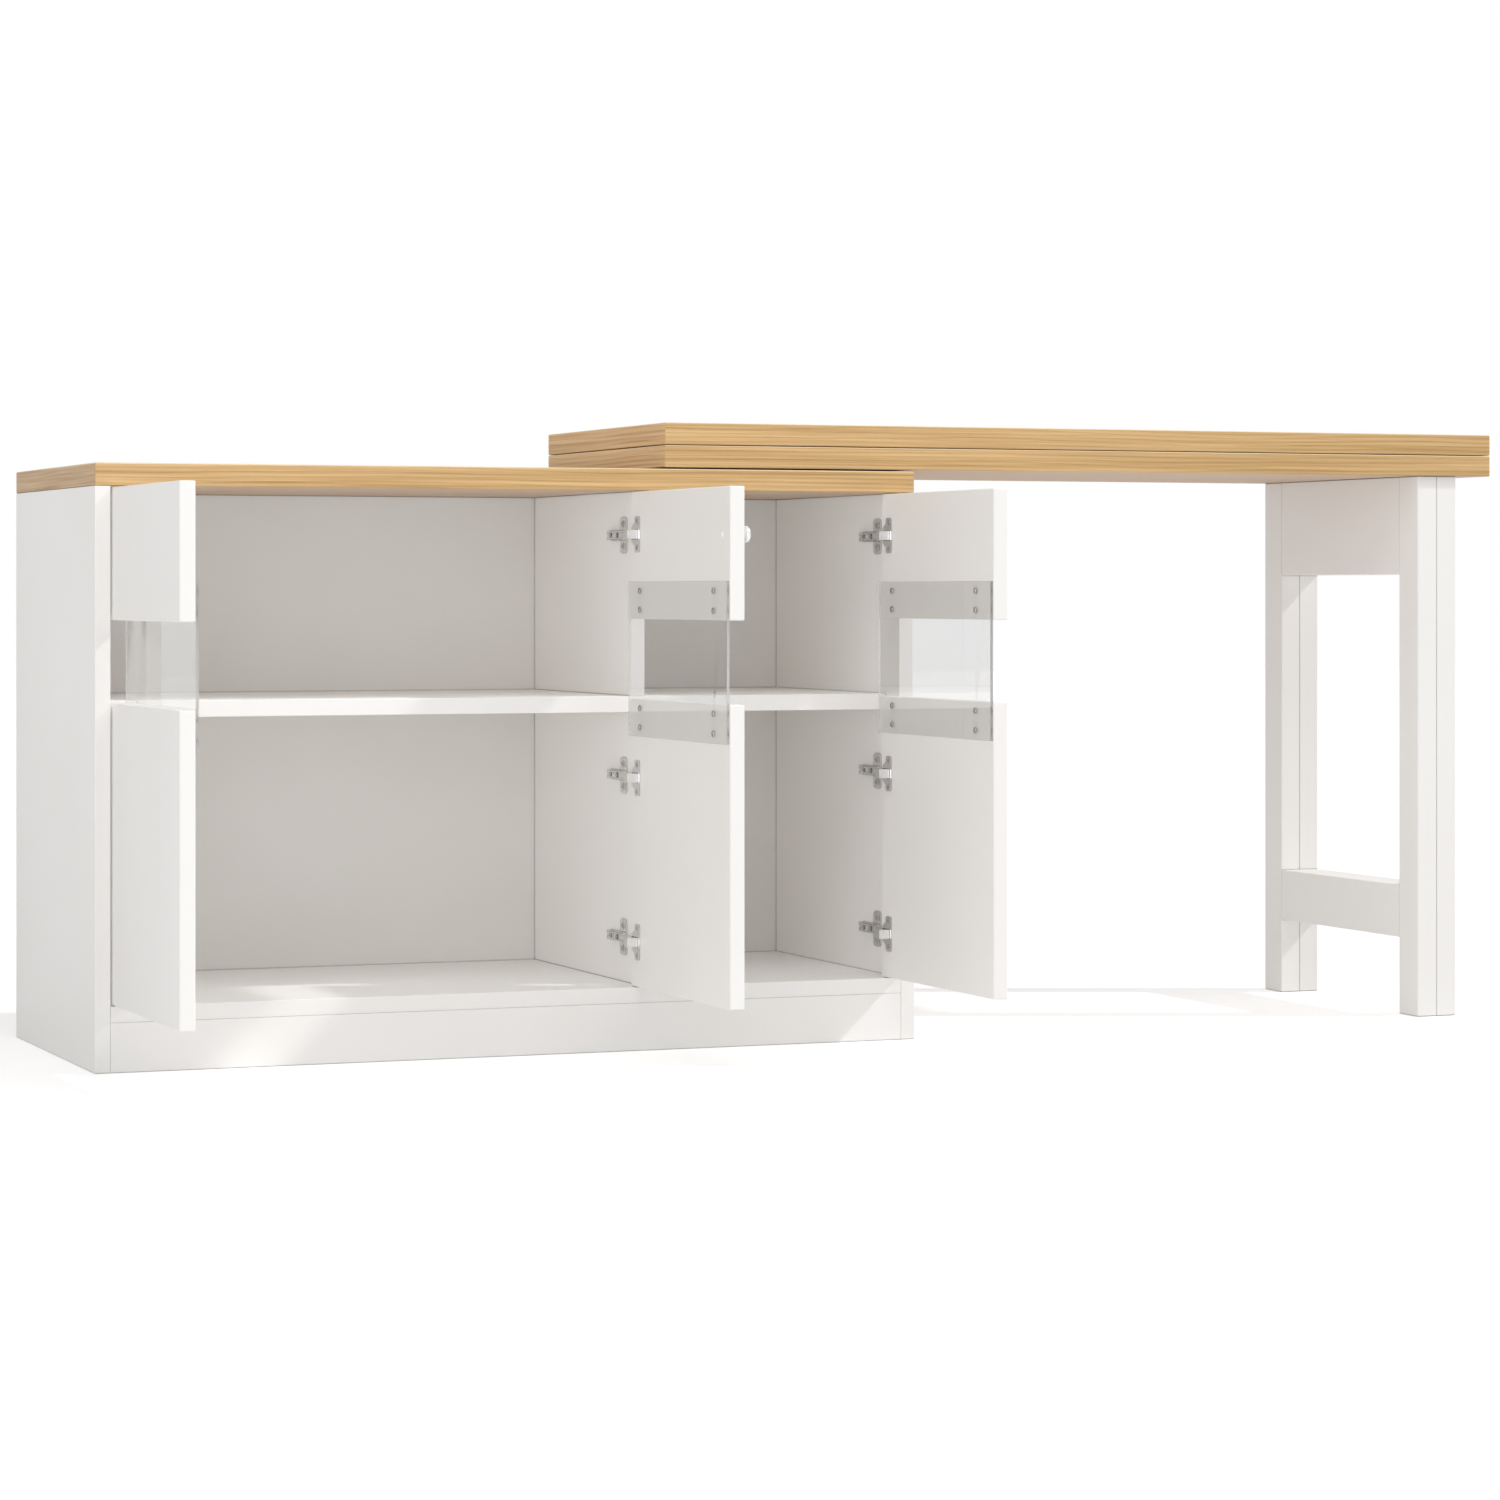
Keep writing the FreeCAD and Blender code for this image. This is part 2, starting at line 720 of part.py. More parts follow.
def swivel_screw_set(surface, direction, room):
    screws = []
    spoke = along_x * swivel_screw_circle
    centre = FreeCAD.Vector(swivel_x, swivel_y, surface)
    for index in range(swivel_screw_count):
        turn = FreeCAD.Rotation(along_z, index * 360 / swivel_screw_count)
        screws.append(flat_screw(centre + turn.multVec(spoke), direction,
                                 swivel_screw_head_radius, swivel_screw_head_depth,
                                 swivel_screw_radius, swivel_screw_length, room))
    return screws


def swivel_plate(low, thickness):
    centre = FreeCAD.Vector(swivel_x, swivel_y, low)
    disc = rod(centre, along_z, swivel_plate_radius, thickness)
    hole = rod(centre, along_z, swivel_bolt_radius + swivel_hole_clearance, thickness)
    return disc.cut(hole)


def write_swivel():
    lower_top = cabinet_height + lower_swivel_thickness
    upper_bottom = lower_top + swivel_gap
    lower = swivel_plate(cabinet_height, lower_swivel_thickness)
    upper = swivel_plate(upper_bottom, upper_swivel_thickness)
    write("swivel_lower_plate", [lower.cut(swivel_screw_set(lower_top, -along_z, screw_clearance))])
    write("swivel_upper_plate", [upper.cut(swivel_screw_set(upper_bottom, along_z,
                                                            screw_clearance))])
    write("swivel_lower_screws", swivel_screw_set(lower_top, -along_z, 0))
    write("swivel_upper_screws", swivel_screw_set(upper_bottom, along_z, 0))
    write("swivel_bolt", [swivel_bolt(0)])
    write("swivel_bush", [swivel_bush()])


# Bar top

def leaf_screw_places():
    places = []
    for x in row(bar_left + leaf_screw_margin, leg_left - leaf_screw_margin, leaf_screw_count):
        for y in (leaf_screw_margin, bar_depth - leaf_screw_margin):
            places.append(FreeCAD.Vector(x, y, bar_underside))
    return places


def leaf_screw_set(room):
    return [flat_screw(point, along_z, leaf_screw_head_radius, leaf_screw_head_depth,
                       leaf_screw_radius, leaf_screw_length, room)
            for point in leaf_screw_places()]


def leaf_spacers():
    # Thin washers between the leaves keep the shadow line between them
    spacers = []
    for point in leaf_screw_places():
        start = point + along_z * leaf_thickness
        ring = rod(start, along_z, leaf_spacer_radius, leaf_gap)
        spacers.append(ring.cut(rod(start, along_z, leaf_screw_radius + screw_clearance, leaf_gap)))
    return spacers


def write_bar_top():
    screw_holes = leaf_screw_set(screw_clearance)
    lower = board(bar_left, bar_right, 0, bar_depth, bar_underside, lower_leaf_top,
                  leaf_edge_round)
    lower_cuts = screw_holes + leg_dowels(dowel_clearance) + [swivel_bush_body()]
    upper_bottom = cabinet_height + lower_swivel_thickness + swivel_gap
    lower_cuts += swivel_screw_set(upper_bottom, along_z, screw_clearance)
    upper = board(bar_left, bar_right, 0, bar_depth, upper_leaf_bottom, bar_top, leaf_edge_round)
    write("bar_lower_leaf", [lower.cut(lower_cuts)])
    write("bar_upper_leaf", [upper.cut(screw_holes)])
    write("bar_leaf_spacers", leaf_spacers())
    write("bar_leaf_screws", leaf_screw_set(0))


# Leg frame

def leg_dowels(room):
    half = leg_dowel_length / 2 + room
    top_half = post_top_dowel_length / 2 + room
    radius = leg_dowel_radius + room
    board_centres = (leg_left + post_board_thickness / 2, leg_middle + post_board_thickness / 2)
    rail_heights = (stretcher_bottom + leg_dowel_margin,
                    stretcher_bottom + stretcher_height - leg_dowel_margin,
                    bar_underside - apron_height + leg_dowel_margin,
                    bar_underside - leg_dowel_margin - post_top_dowel_length / 2)
    pegs = []
    for x in board_centres:
        for y in (front_post_rear, rear_post_front):
            for z in rail_heights:
                pegs.append(rod(FreeCAD.Vector(x, y - half, z), along_y, radius, half + half))
        for y in (front_post_setback + post_width / 2, rear_post_rear - post_width / 2):
            start = FreeCAD.Vector(x, y, bar_underside - top_half)
            pegs.append(rod(start, along_z, radius, top_half + top_half))
    return pegs


def write_leg_frame():
    holes = leg_dowels(dowel_clearance)
    posts = (("front", front_post_setback, front_post_rear),
             ("rear", rear_post_front, rear_post_rear))
    sides = (("inner", leg_left, leg_middle), ("outer", leg_middle, leg_right))
    for post_name, y_low, y_high in posts:
        for side_name, x_low, x_high in sides:
            post = board(x_low, x_high, y_low, y_high, 0, bar_underside, leg_edge_round)
            write(post_name + "_post_" + side_name + "_board", [post.cut(holes)])
    apron = board(leg_left, leg_right, front_post_rear, rear_post_front,
                  bar_underside - apron_height, bar_underside, leg_edge_round)
    write("leg_apron", [apron.cut(holes)])
    stretcher = board(leg_left, leg_right, front_post_rear, rear_post_front, stretcher_bottom,
                      stretcher_bottom + stretcher_height, leg_edge_round)
    write("leg_stretcher", [stretcher.cut(holes)])
    write("leg_dowels", leg_dowels(0))


os.makedirs("parts", exist_ok=True)
write_carcass()
write_cabinet_top()
write_hinge_mounts()
for door_name in doors:
    write_door(door_name)
write_swivel()
write_bar_top()
write_leg_frame()
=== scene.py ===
import math

import bmesh
import bpy
from mathutils import Matrix, Vector


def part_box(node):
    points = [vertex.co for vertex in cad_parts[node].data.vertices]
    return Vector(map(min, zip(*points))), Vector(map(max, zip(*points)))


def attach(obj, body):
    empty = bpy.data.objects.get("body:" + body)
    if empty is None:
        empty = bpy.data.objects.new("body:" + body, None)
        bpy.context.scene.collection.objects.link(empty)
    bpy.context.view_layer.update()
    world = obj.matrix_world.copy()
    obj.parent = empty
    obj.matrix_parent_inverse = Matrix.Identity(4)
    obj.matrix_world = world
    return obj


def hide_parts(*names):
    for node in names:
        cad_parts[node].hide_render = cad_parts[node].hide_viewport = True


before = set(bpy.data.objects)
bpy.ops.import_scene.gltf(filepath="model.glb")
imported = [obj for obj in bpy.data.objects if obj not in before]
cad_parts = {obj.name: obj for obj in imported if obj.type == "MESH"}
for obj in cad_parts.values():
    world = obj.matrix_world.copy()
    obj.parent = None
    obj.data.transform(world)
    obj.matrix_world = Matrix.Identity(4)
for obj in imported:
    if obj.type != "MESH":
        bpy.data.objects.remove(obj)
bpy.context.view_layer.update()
print("frame loaded:", len(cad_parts), "nodes")


# small helpers for building node trees

def feed(tree, node, values):
    # an input takes a plain value, or another node's socket to link from
    for name, value in values.items():
        if hasattr(value, "is_output"):
            tree.links.new(value, node.inputs[name])
        elif value is not None:
            node.inputs[name].default_value = value


def addNode(tree, kind, place=(0, 0), values=None, **settings):
    node = tree.nodes.new(kind)
    node.location = place
    for name, value in settings.items():
        setattr(node, name, value)
    feed(tree, node, values or {})
    return node


def mathNode(tree, operation, first, second, place=(0, 0), clamp=False):
    node = addNode(tree, "ShaderNodeMath", place, {0: first, 1: second}, operation=operation, use_clamp=clamp)
    return node.outputs[0]


def mixColours(tree, factor, first, second, place=(0, 0)):
    return addNode(tree, "ShaderNodeMix", place, {0: factor, 6: first, 7: second}, data_type="RGBA").outputs[2]


def scaledBetween(tree, factor, low, high, place=(0, 0)):
    return addNode(tree, "ShaderNodeMapRange", place, {"Value": factor, "To Min": low, "To Max": high}).outputs[0]


def splitAxes(tree, vector, place):
    return addNode(tree, "ShaderNodeSeparateXYZ", place, {0: vector})


def stretchedNoise(tree, vector, stretch, scale, detail, place, distortion=0.0, roughness=0.5):
    mapping = addNode(tree, "ShaderNodeMapping", place, {"Vector": vector, "Scale": stretch})
    noise = addNode(tree, "ShaderNodeTexNoise", (place[0] + 180, place[1]), {
        "Vector": mapping.outputs[0], "Scale": scale, "Detail": detail, "Distortion": distortion,
        "Roughness": roughness})
    return noise.outputs["Fac"]


def greyRamp(tree, factor, stops, place=(0, 0), interpolation="LINEAR"):
    ramp = addNode(tree, "ShaderNodeValToRGB", place, {0: factor})
    ramp.color_ramp.interpolation = interpolation
    elements = ramp.color_ramp.elements
    while len(elements) < len(stops):
        elements.new(0.5)
    for element, (position, level) in zip(elements, stops):
        element.position = position
        element.color = (level, level, level, 1)
    return ramp.outputs[0]


def newGroup(name, inputs, outputs):
    tree = bpy.data.node_groups.new(name, "ShaderNodeTree")
    for label, kind, value in inputs:
        socket = tree.interface.new_socket(name=label, in_out="INPUT", socket_type=kind)
        if value is not None:
            socket.default_value = value
    for label, kind in outputs:
        tree.interface.new_socket(name=label, in_out="OUTPUT", socket_type=kind)
    return tree, addNode(tree, "NodeGroupInput", (-1400, 0)), addNode(tree, "NodeGroupOutput", (900, 0))


def useGroup(tree, group, values, place=(-500, 0)):
    return addNode(tree, "ShaderNodeGroup", place, values, node_tree=group)


def newMaterial(name):
    material = bpy.data.materials.new(name)
    material.use_nodes = True
    tree = material.node_tree
    tree.nodes.clear()
    shader = addNode(tree, "ShaderNodeBsdfPrincipled", (300, 0))
    addNode(tree, "ShaderNodeOutputMaterial", (700, 0), {"Surface": shader.outputs[0]})
    coords = addNode(tree, "ShaderNodeTexCoord", (-1000, 0)).outputs["Object"]
    return material, tree, shader, coords


edgeHighlightAndWearMask = {"gain": 3.5, "patchLift": 0.35, "samples": 4}


# rounded edges catch light, wear and dust: 1 on an edge, 0 on a flat face
def makeEdgeGroup(look):
    tree, given, out = newGroup(
        "edgeMask",
        [("Width", "NodeSocketFloat", 0.002), ("Vector", "NodeSocketVector", None),
         ("Patchiness", "NodeSocketFloat", 40.0)],
        [("Mask", "NodeSocketFloat")])
    bevel = addNode(tree, "ShaderNodeBevel", (-1000, 200), {"Radius": given.outputs["Width"]},
                    samples=look["samples"])
    geometry = addNode(tree, "ShaderNodeNewGeometry", (-1000, 0))
    dot = addNode(tree, "ShaderNodeVectorMath", (-800, 100),
                  {0: bevel.outputs[0], 1: geometry.outputs["Normal"]}, operation="DOT_PRODUCT")
    turned = mathNode(tree, "SUBTRACT", 1.0, dot.outputs["Value"], (-600, 100))
    edge = mathNode(tree, "MULTIPLY", turned, look["gain"], (-400, 100), clamp=True)
    noise = addNode(tree, "ShaderNodeTexNoise", (-800, -200),
                    {"Vector": given.outputs["Vector"], "Scale": given.outputs["Patchiness"]})
    patches = mathNode(tree, "ADD", noise.outputs["Fac"], look["patchLift"], (-400, -200), clamp=True)
    feed(tree, out, {"Mask": mathNode(tree, "MULTIPLY", edge, patches, (-100, 0))})
    return tree


# a stop is a place on the ramp and its grey level; a stretch is how often the noise turns along X, Y and Z
grainPattern = {
    "waver": (0.9, 3.0, 3.0), "waverScale": 1.3, "waverDetail": 2.0, "waverPush": (0.0, 0.12, 0.035),
    "trunkPlace": (0.0, 0.10, 0.42), "trunkShape": (0.0, 0.62, 1.0),
    "jitter": (0.5, 9.0, 9.0), "jitterScale": 6.0, "jitterAmount": 1.2,
    "ringStops": ((0.0, 0.85), (0.12, 0.0), (0.6, 0.18), (1.0, 0.85)), "ringsInLate": 0.35,
    "fibre": (3.0, 330.0, 330.0), "streak": (1.6, 125.0, 125.0), "streakShare": 0.6,
    "streakStops": ((0.42, 0.0), (0.78, 1.0)), "streaksInLate": 0.8, "streakHeight": 0.25,
    "pores": (42.0, 1500.0, 1500.0), "poreStops": ((0.62, 0.0), (0.70, 1.0)),
    "poresInRings": 0.7, "poresAnywhere": 0.3,
}


# growth rings cut lengthwise, pores and fine fibre, with the grain along X
def makeGrainGroup(look):
    tree, given, out = newGroup(
        "woodGrain",
        [("Vector", "NodeSocketVector", None), ("Early", "NodeSocketColor", (0.7, 0.5, 0.3, 1)),
         ("Late", "NodeSocketColor", (0.5, 0.3, 0.15, 1)), ("Pore", "NodeSocketColor", (0.35, 0.2, 0.1, 1)),
         ("Ring Scale", "NodeSocketFloat", 60.0), ("Pore Depth", "NodeSocketFloat", 0.4)],
        [("Color", "NodeSocketColor"), ("Height", "NodeSocketFloat"), ("Ring", "NodeSocketFloat")])
    vector = given.outputs["Vector"]
    # slow waver of the trunk, then rings round an axis far below the board
    waver = addNode(tree, "ShaderNodeMapping", (-1200, 300), {"Vector": vector, "Scale": look["waver"]})
    slow = addNode(tree, "ShaderNodeTexNoise", (-1020, 300), {
        "Vector": waver.outputs[0], "Scale": look["waverScale"], "Detail": look["waverDetail"]})
    push = addNode(tree, "ShaderNodeVectorMath", (-840, 300),
                   {0: slow.outputs["Color"], 1: look["waverPush"], 2: vector}, operation="MULTIPLY_ADD")
    axis = addNode(tree, "ShaderNodeMapping", (-660, 300), {
        "Vector": push.outputs[0], "Location": look["trunkPlace"], "Scale": look["trunkShape"]})
    radius = addNode(tree, "ShaderNodeVectorMath", (-480, 300), {0: axis.outputs[0]}, operation="LENGTH")
    rings = mathNode(tree, "MULTIPLY", radius.outputs["Value"], given.outputs["Ring Scale"], (-300, 300))
    jitter = stretchedNoise(tree, vector, look["jitter"], look["jitterScale"], 3.0, (-700, 520))
    jitter = mathNode(tree, "MULTIPLY", jitter, look["jitterAmount"], (-300, 520))
    rings = mathNode(tree, "ADD", rings, jitter, (-120, 300))
    wave = mathNode(tree, "FRACT", rings, None, (60, 300))
    ringBand = greyRamp(tree, wave, look["ringStops"], (240, 300), "EASE")
    # long fine fibre streaks, a few tenths of a millimetre across
    fibre = stretchedNoise(tree, vector, look["fibre"], 1.0, 4.0, (-700, 0), roughness=0.6)
    broad = stretchedNoise(tree, vector, look["streak"], 1.0, 3.0, (-700, -200))
    fibre = mathNode(tree, "MULTIPLY", fibre, look["streakShare"], (-300, 0))
    broad = mathNode(tree, "MULTIPLY", broad, look["streakShare"], (-300, -200))
    streak = mathNode(tree, "ADD", fibre, broad, (-120, -100))
    streakMask = greyRamp(tree, streak, look["streakStops"], (60, -100))
    lateRings = mathNode(tree, "MULTIPLY", ringBand, look["ringsInLate"], (480, 300))
    lateStreaks = mathNode(tree, "MULTIPLY", streakMask, look["streaksInLate"], (320, -100))
    late = mathNode(tree, "ADD", lateRings, lateStreaks, (480, 100), clamp=True)
    colour = mixColours(tree, late, given.outputs["Early"], given.outputs["Late"], (620, 200))
    # short open pores, crowded in the early part of each ring
    pores = stretchedNoise(tree, vector, look["pores"], 1.0, 1.0, (-700, -450))
    poreMask = greyRamp(tree, pores, look["poreStops"], (-300, -450))
    crowding = mathNode(tree, "MULTIPLY", ringBand, look["poresInRings"], (60, -300))
    crowding = mathNode(tree, "ADD", crowding, look["poresAnywhere"], (200, -300))
    poreFade = mathNode(tree, "MULTIPLY", poreMask, crowding, (320, -400))
    poreMix = mathNode(tree, "MULTIPLY", poreFade, given.outputs["Pore Depth"], (480, -400))
    colour = mixColours(tree, poreMix, colour, given.outputs["Pore"], (760, 100))
    raised = mathNode(tree, "MULTIPLY", streakMask, look["streakHeight"], (480, -200))
    height = mathNode(tree, "SUBTRACT", raised, poreMix, (640, -300))
    feed(tree, out, {"Color": colour, "Height": height, "Ring": late})
    return tree


filmPattern = {"peelDetail": 2.0, "peelRoughness": 0.45, "patchDetail": 3.0, "patchRoughness": 0.5,
               "patchStops": ((0.35, 0.0), (0.65, 1.0))}


# faint unevenness of a sprayed or plated film, and slow change of its shade
def makeFilmGroup(look):
    tree, given, out = newGroup(
        "filmSurface",
        [("Vector", "NodeSocketVector", None), ("Shade", "NodeSocketColor", (0.8, 0.8, 0.8, 1)),
         ("Other Shade", "NodeSocketColor", (0.75, 0.75, 0.75, 1)), ("Peel Scale", "NodeSocketFloat", 700.0),
         ("Patch Scale", "NodeSocketFloat", 3.0)],
        [("Color", "NodeSocketColor"), ("Height", "NodeSocketFloat"), ("Gloss Change", "NodeSocketFloat")])
    peel = addNode(tree, "ShaderNodeTexNoise", (-900, 200), {
        "Vector": given.outputs["Vector"], "Scale": given.outputs["Peel Scale"],
        "Detail": look["peelDetail"], "Roughness": look["peelRoughness"]})
    patch = addNode(tree, "ShaderNodeTexNoise", (-900, -100), {
        "Vector": given.outputs["Vector"], "Scale": given.outputs["Patch Scale"],
        "Detail": look["patchDetail"], "Roughness": look["patchRoughness"]})
    slow = greyRamp(tree, patch.outputs["Fac"], look["patchStops"], (-600, -100))
    colour = mixColours(tree, slow, given.outputs["Shade"], given.outputs["Other Shade"], (-200, 0))
    feed(tree, out, {"Color": colour, "Height": peel.outputs["Fac"], "Gloss Change": slow})
    return tree


# the fine dark line in a joint, and painted shade in an inner corner, taken from ambient occlusion: 1 deep in the
# joint or corner, 0 on open surface
def makeJointsAndCornerShadeGroup():
    tree, given, out = newGroup("jointsAndCornerShadeMask", [("Reach", "NodeSocketFloat", 0.004)], [("Mask", "NodeSocketFloat")])
    hidden = addNode(tree, "ShaderNodeAmbientOcclusion", (-600, 0), {"Distance": given.outputs["Reach"]}, samples=6)
    feed(tree, out, {"Mask": mathNode(tree, "SUBTRACT", 1.0, hidden.outputs["AO"], (-300, 0), clamp=True)})
    return tree


edgeGroup = makeEdgeGroup(edgeHighlightAndWearMask)
jointsAndCornerShadeGroup = makeJointsAndCornerShadeGroup()
grainGroup = makeGrainGroup(grainPattern)
filmGroup = makeFilmGroup(filmPattern)


def bumpInto(tree, shader, height, strength, depth):
    bump = addNode(tree, "ShaderNodeBump", (100, -300), {"Strength": strength, "Distance": depth, "Height": height})
    feed(tree, shader, {"Normal": bump.outputs[0]})


whitePaint = {
    "shade": (0.942, 0.932, 0.919, 1),
    "otherShade": (0.932, 0.920, 0.905, 1),
    # a paler edge colour: a painted highlight along the edges, with some wear
    "edgeHighlightAndWearColour": (0.960, 0.952, 0.940, 1),
    "edgeAmount": 0.35,
    "edgeWidth": 0.0015,
    "edgePatches": 25.0,
    # colour of the dark joints and of the painted shade in inner corners
    "jointsAndCornerShade": (0.22, 0.21, 0.20, 1),
    "jointsAndCornerShadeAmount": 1.05,
    "jointsAndCornerShadeReach": 0.0028,
    "peelScale": 650.0,
    "patchScale": 2.5,
    "roughness": (0.40, 0.47),
    "bump": 0.25,
    "peelDepth": 0.00003,
    "metallic": 0.0,
}

# the thin back board is a shade greyer than the painted boards round it
greyBoard = {
    **whitePaint,
    "shade": (0.835, 0.823, 0.805, 1),
    "otherShade": (0.820, 0.807, 0.787, 1),
}

nickelPlate = {
    "shade": (0.850, 0.855, 0.862, 1),
    "otherShade": (0.790, 0.795, 0.802, 1),
    "edgeHighlightAndWearColour": (0.780, 0.770, 0.755, 1),
    "edgeAmount": 1.0,
    "edgeWidth": 0.0005,
    "edgePatches": 250.0,
    # colour of the painted shade in the hinges' recesses and joints
    "jointsAndCornerShade": (0.050, 0.050, 0.052, 1),
    "jointsAndCornerShadeAmount": 1.15,
    "jointsAndCornerShadeReach": 0.0025,
    "peelScale": 1800.0,
    "patchScale": 120.0,
    "roughness": (0.17, 0.27),
    "bump": 0.3,
    "peelDepth": 0.00001,
    "metallic": 1.0,
}

# the clear sheets' screws are a darker steel than the hinges
sheetScrewSteel = {
    **nickelPlate,
    "shade": (0.520, 0.515, 0.505, 1),
    "otherShade": (0.440, 0.435, 0.425, 1),
}

zincSteel = {
    **nickelPlate,
    "shade": (0.500, 0.505, 0.515, 1),
    "otherShade": (0.430, 0.435, 0.440, 1),
    # a paler edge colour: a painted highlight along the edges, with some wear
    "edgeHighlightAndWearColour": (0.660, 0.660, 0.660, 1),
    # colour of the painted shade in recesses and joints
    "jointsAndCornerShade": (0.040, 0.040, 0.042, 1),
    "jointsAndCornerShadeAmount": 1.3,
    "jointsAndCornerShadeReach": 0.0020,
    "peelScale": 900.0,
    "roughness": (0.30, 0.45),
    "peelDepth": 0.00002,
}


# sprayed paint and plated metal: an even film; its edges are tinted, partly wear and partly a painted highlight, and
# its joints and inner corners are darkened with painted shade
def makeCoated(name, look):
    material, tree, shader, coords = newMaterial(name)
    film = useGroup(tree, filmGroup, {
        "Vector": coords, "Shade": look["shade"], "Other Shade": look["otherShade"],
        "Peel Scale": look["peelScale"], "Patch Scale": look["patchScale"]})
    edge = useGroup(tree, edgeGroup, {
        "Vector": coords, "Width": look["edgeWidth"], "Patchiness": look["edgePatches"]}, (-500, 300))
    # edges mixed towards an edge colour: a painted highlight where that colour is paler, partly wear
    edgeHighlightAndWear = mathNode(tree, "MULTIPLY", edge.outputs["Mask"], look["edgeAmount"], (-250, 300))
    colour = mixColours(tree, edgeHighlightAndWear, film.outputs["Color"], look["edgeHighlightAndWearColour"], (0, 200))
    # painted shade: joints and inner corners darkened towards a dark colour
    jointsAndCornerShade = useGroup(tree, jointsAndCornerShadeGroup, {"Reach": look["jointsAndCornerShadeReach"]}, (-500, 500))
    depth = mathNode(tree, "MULTIPLY", jointsAndCornerShade.outputs["Mask"], look["jointsAndCornerShadeAmount"], (-250, 500), clamp=True)
    colour = mixColours(tree, depth, colour, look["jointsAndCornerShade"], (150, 300))
    gloss = scaledBetween(tree, film.outputs["Gloss Change"], *look["roughness"], (0, -100))
    feed(tree, shader, {"Base Color": colour, "Roughness": gloss, "Metallic": look["metallic"]})
    bumpInto(tree, shader, film.outputs["Height"], look["bump"], look["peelDepth"])
    return material


oakTop = {
    "early": (0.795, 0.538, 0.262, 1),
    "late": (0.445, 0.258, 0.088, 1),
    "pore": (0.330, 0.190, 0.080, 1),
    # pale colour of the painted highlight on rounded edges that look up
    "edgeHighlightAndWearColour": (0.900, 0.740, 0.480, 1),
    "edgeAmount": 0.75,
    # colour of the dark joints and of the painted shade under edges that look down
    "jointsAndCornerShade": (0.150, 0.085, 0.040, 1),
    "jointsAndCornerShadeReach": 0.003,
    # the ends' tint, which also paints light on them: the bar's ends are made paler this way
    "endTintAndLight": (1.10, 1.08, 0.95),
    "backing": (0.660, 0.515, 0.420, 1),
    "backingInLight": (0.560, 0.420, 0.320, 1),
    "ringScale": 130.0,
    "poreDepth": 0.35,
    "roughness": (0.34, 0.46),
    "grainDepth": 0.00008,
}

# the light that the cabinet's own top throws down on the white boards stays white
oakOverPaint = {
    **oakTop,
    # painted shade: the cabinet top's ends are made darker than the bar's
    "endTintAndLight": (0.81, 0.75, 0.65),
    "backingInLight": whitePaint["shade"],
}

beech = {
    "early": (0.600, 0.400, 0.230, 1),
    "late": (0.500, 0.310, 0.160, 1),
    "pore": (0.360, 0.210, 0.110, 1),
    # colour of the painted highlight on rounded edges that look up
    "edgeHighlightAndWearColour": (0.640, 0.450, 0.280, 1),
    "edgeAmount": 0.50,
    # colour of the dark joints and of the painted shade under edges that look down
    "jointsAndCornerShade": (0.150, 0.085, 0.040, 1),
    "jointsAndCornerShadeReach": 0.002,
    "endTintAndLight": (0.92, 0.90, 0.88),
    "backing": (0.550, 0.360, 0.200, 1),
    "backingInLight": (0.550, 0.360, 0.200, 1),
    "ringScale": 160.0,
    "poreDepth": 0.20,
    "roughness": (0.50, 0.62),
    "grainDepth": 0.00005,
}

# how a wooden face is finished depends on the way it looks, 1 or -1 being square on to that way
woodFaces = {
    "endAbove": 0.75,      # along X: an end, banded with veneer
    "flatAbove": 0.97,     # up: the flat top, which gets no painted highlight
    "highlightAndShadeRate": 1.4,       # how fast a rounded edge gets a painted highlight upwards and painted shade downwards
    "jointsAndCornerShadeRate": 1.6,
    "backedBelow": -0.9,   # down: the underside, with its backing sheet
    "backingCover": 0.8,
    "backingMatt": 0.30,
    "bump": 0.4,
}


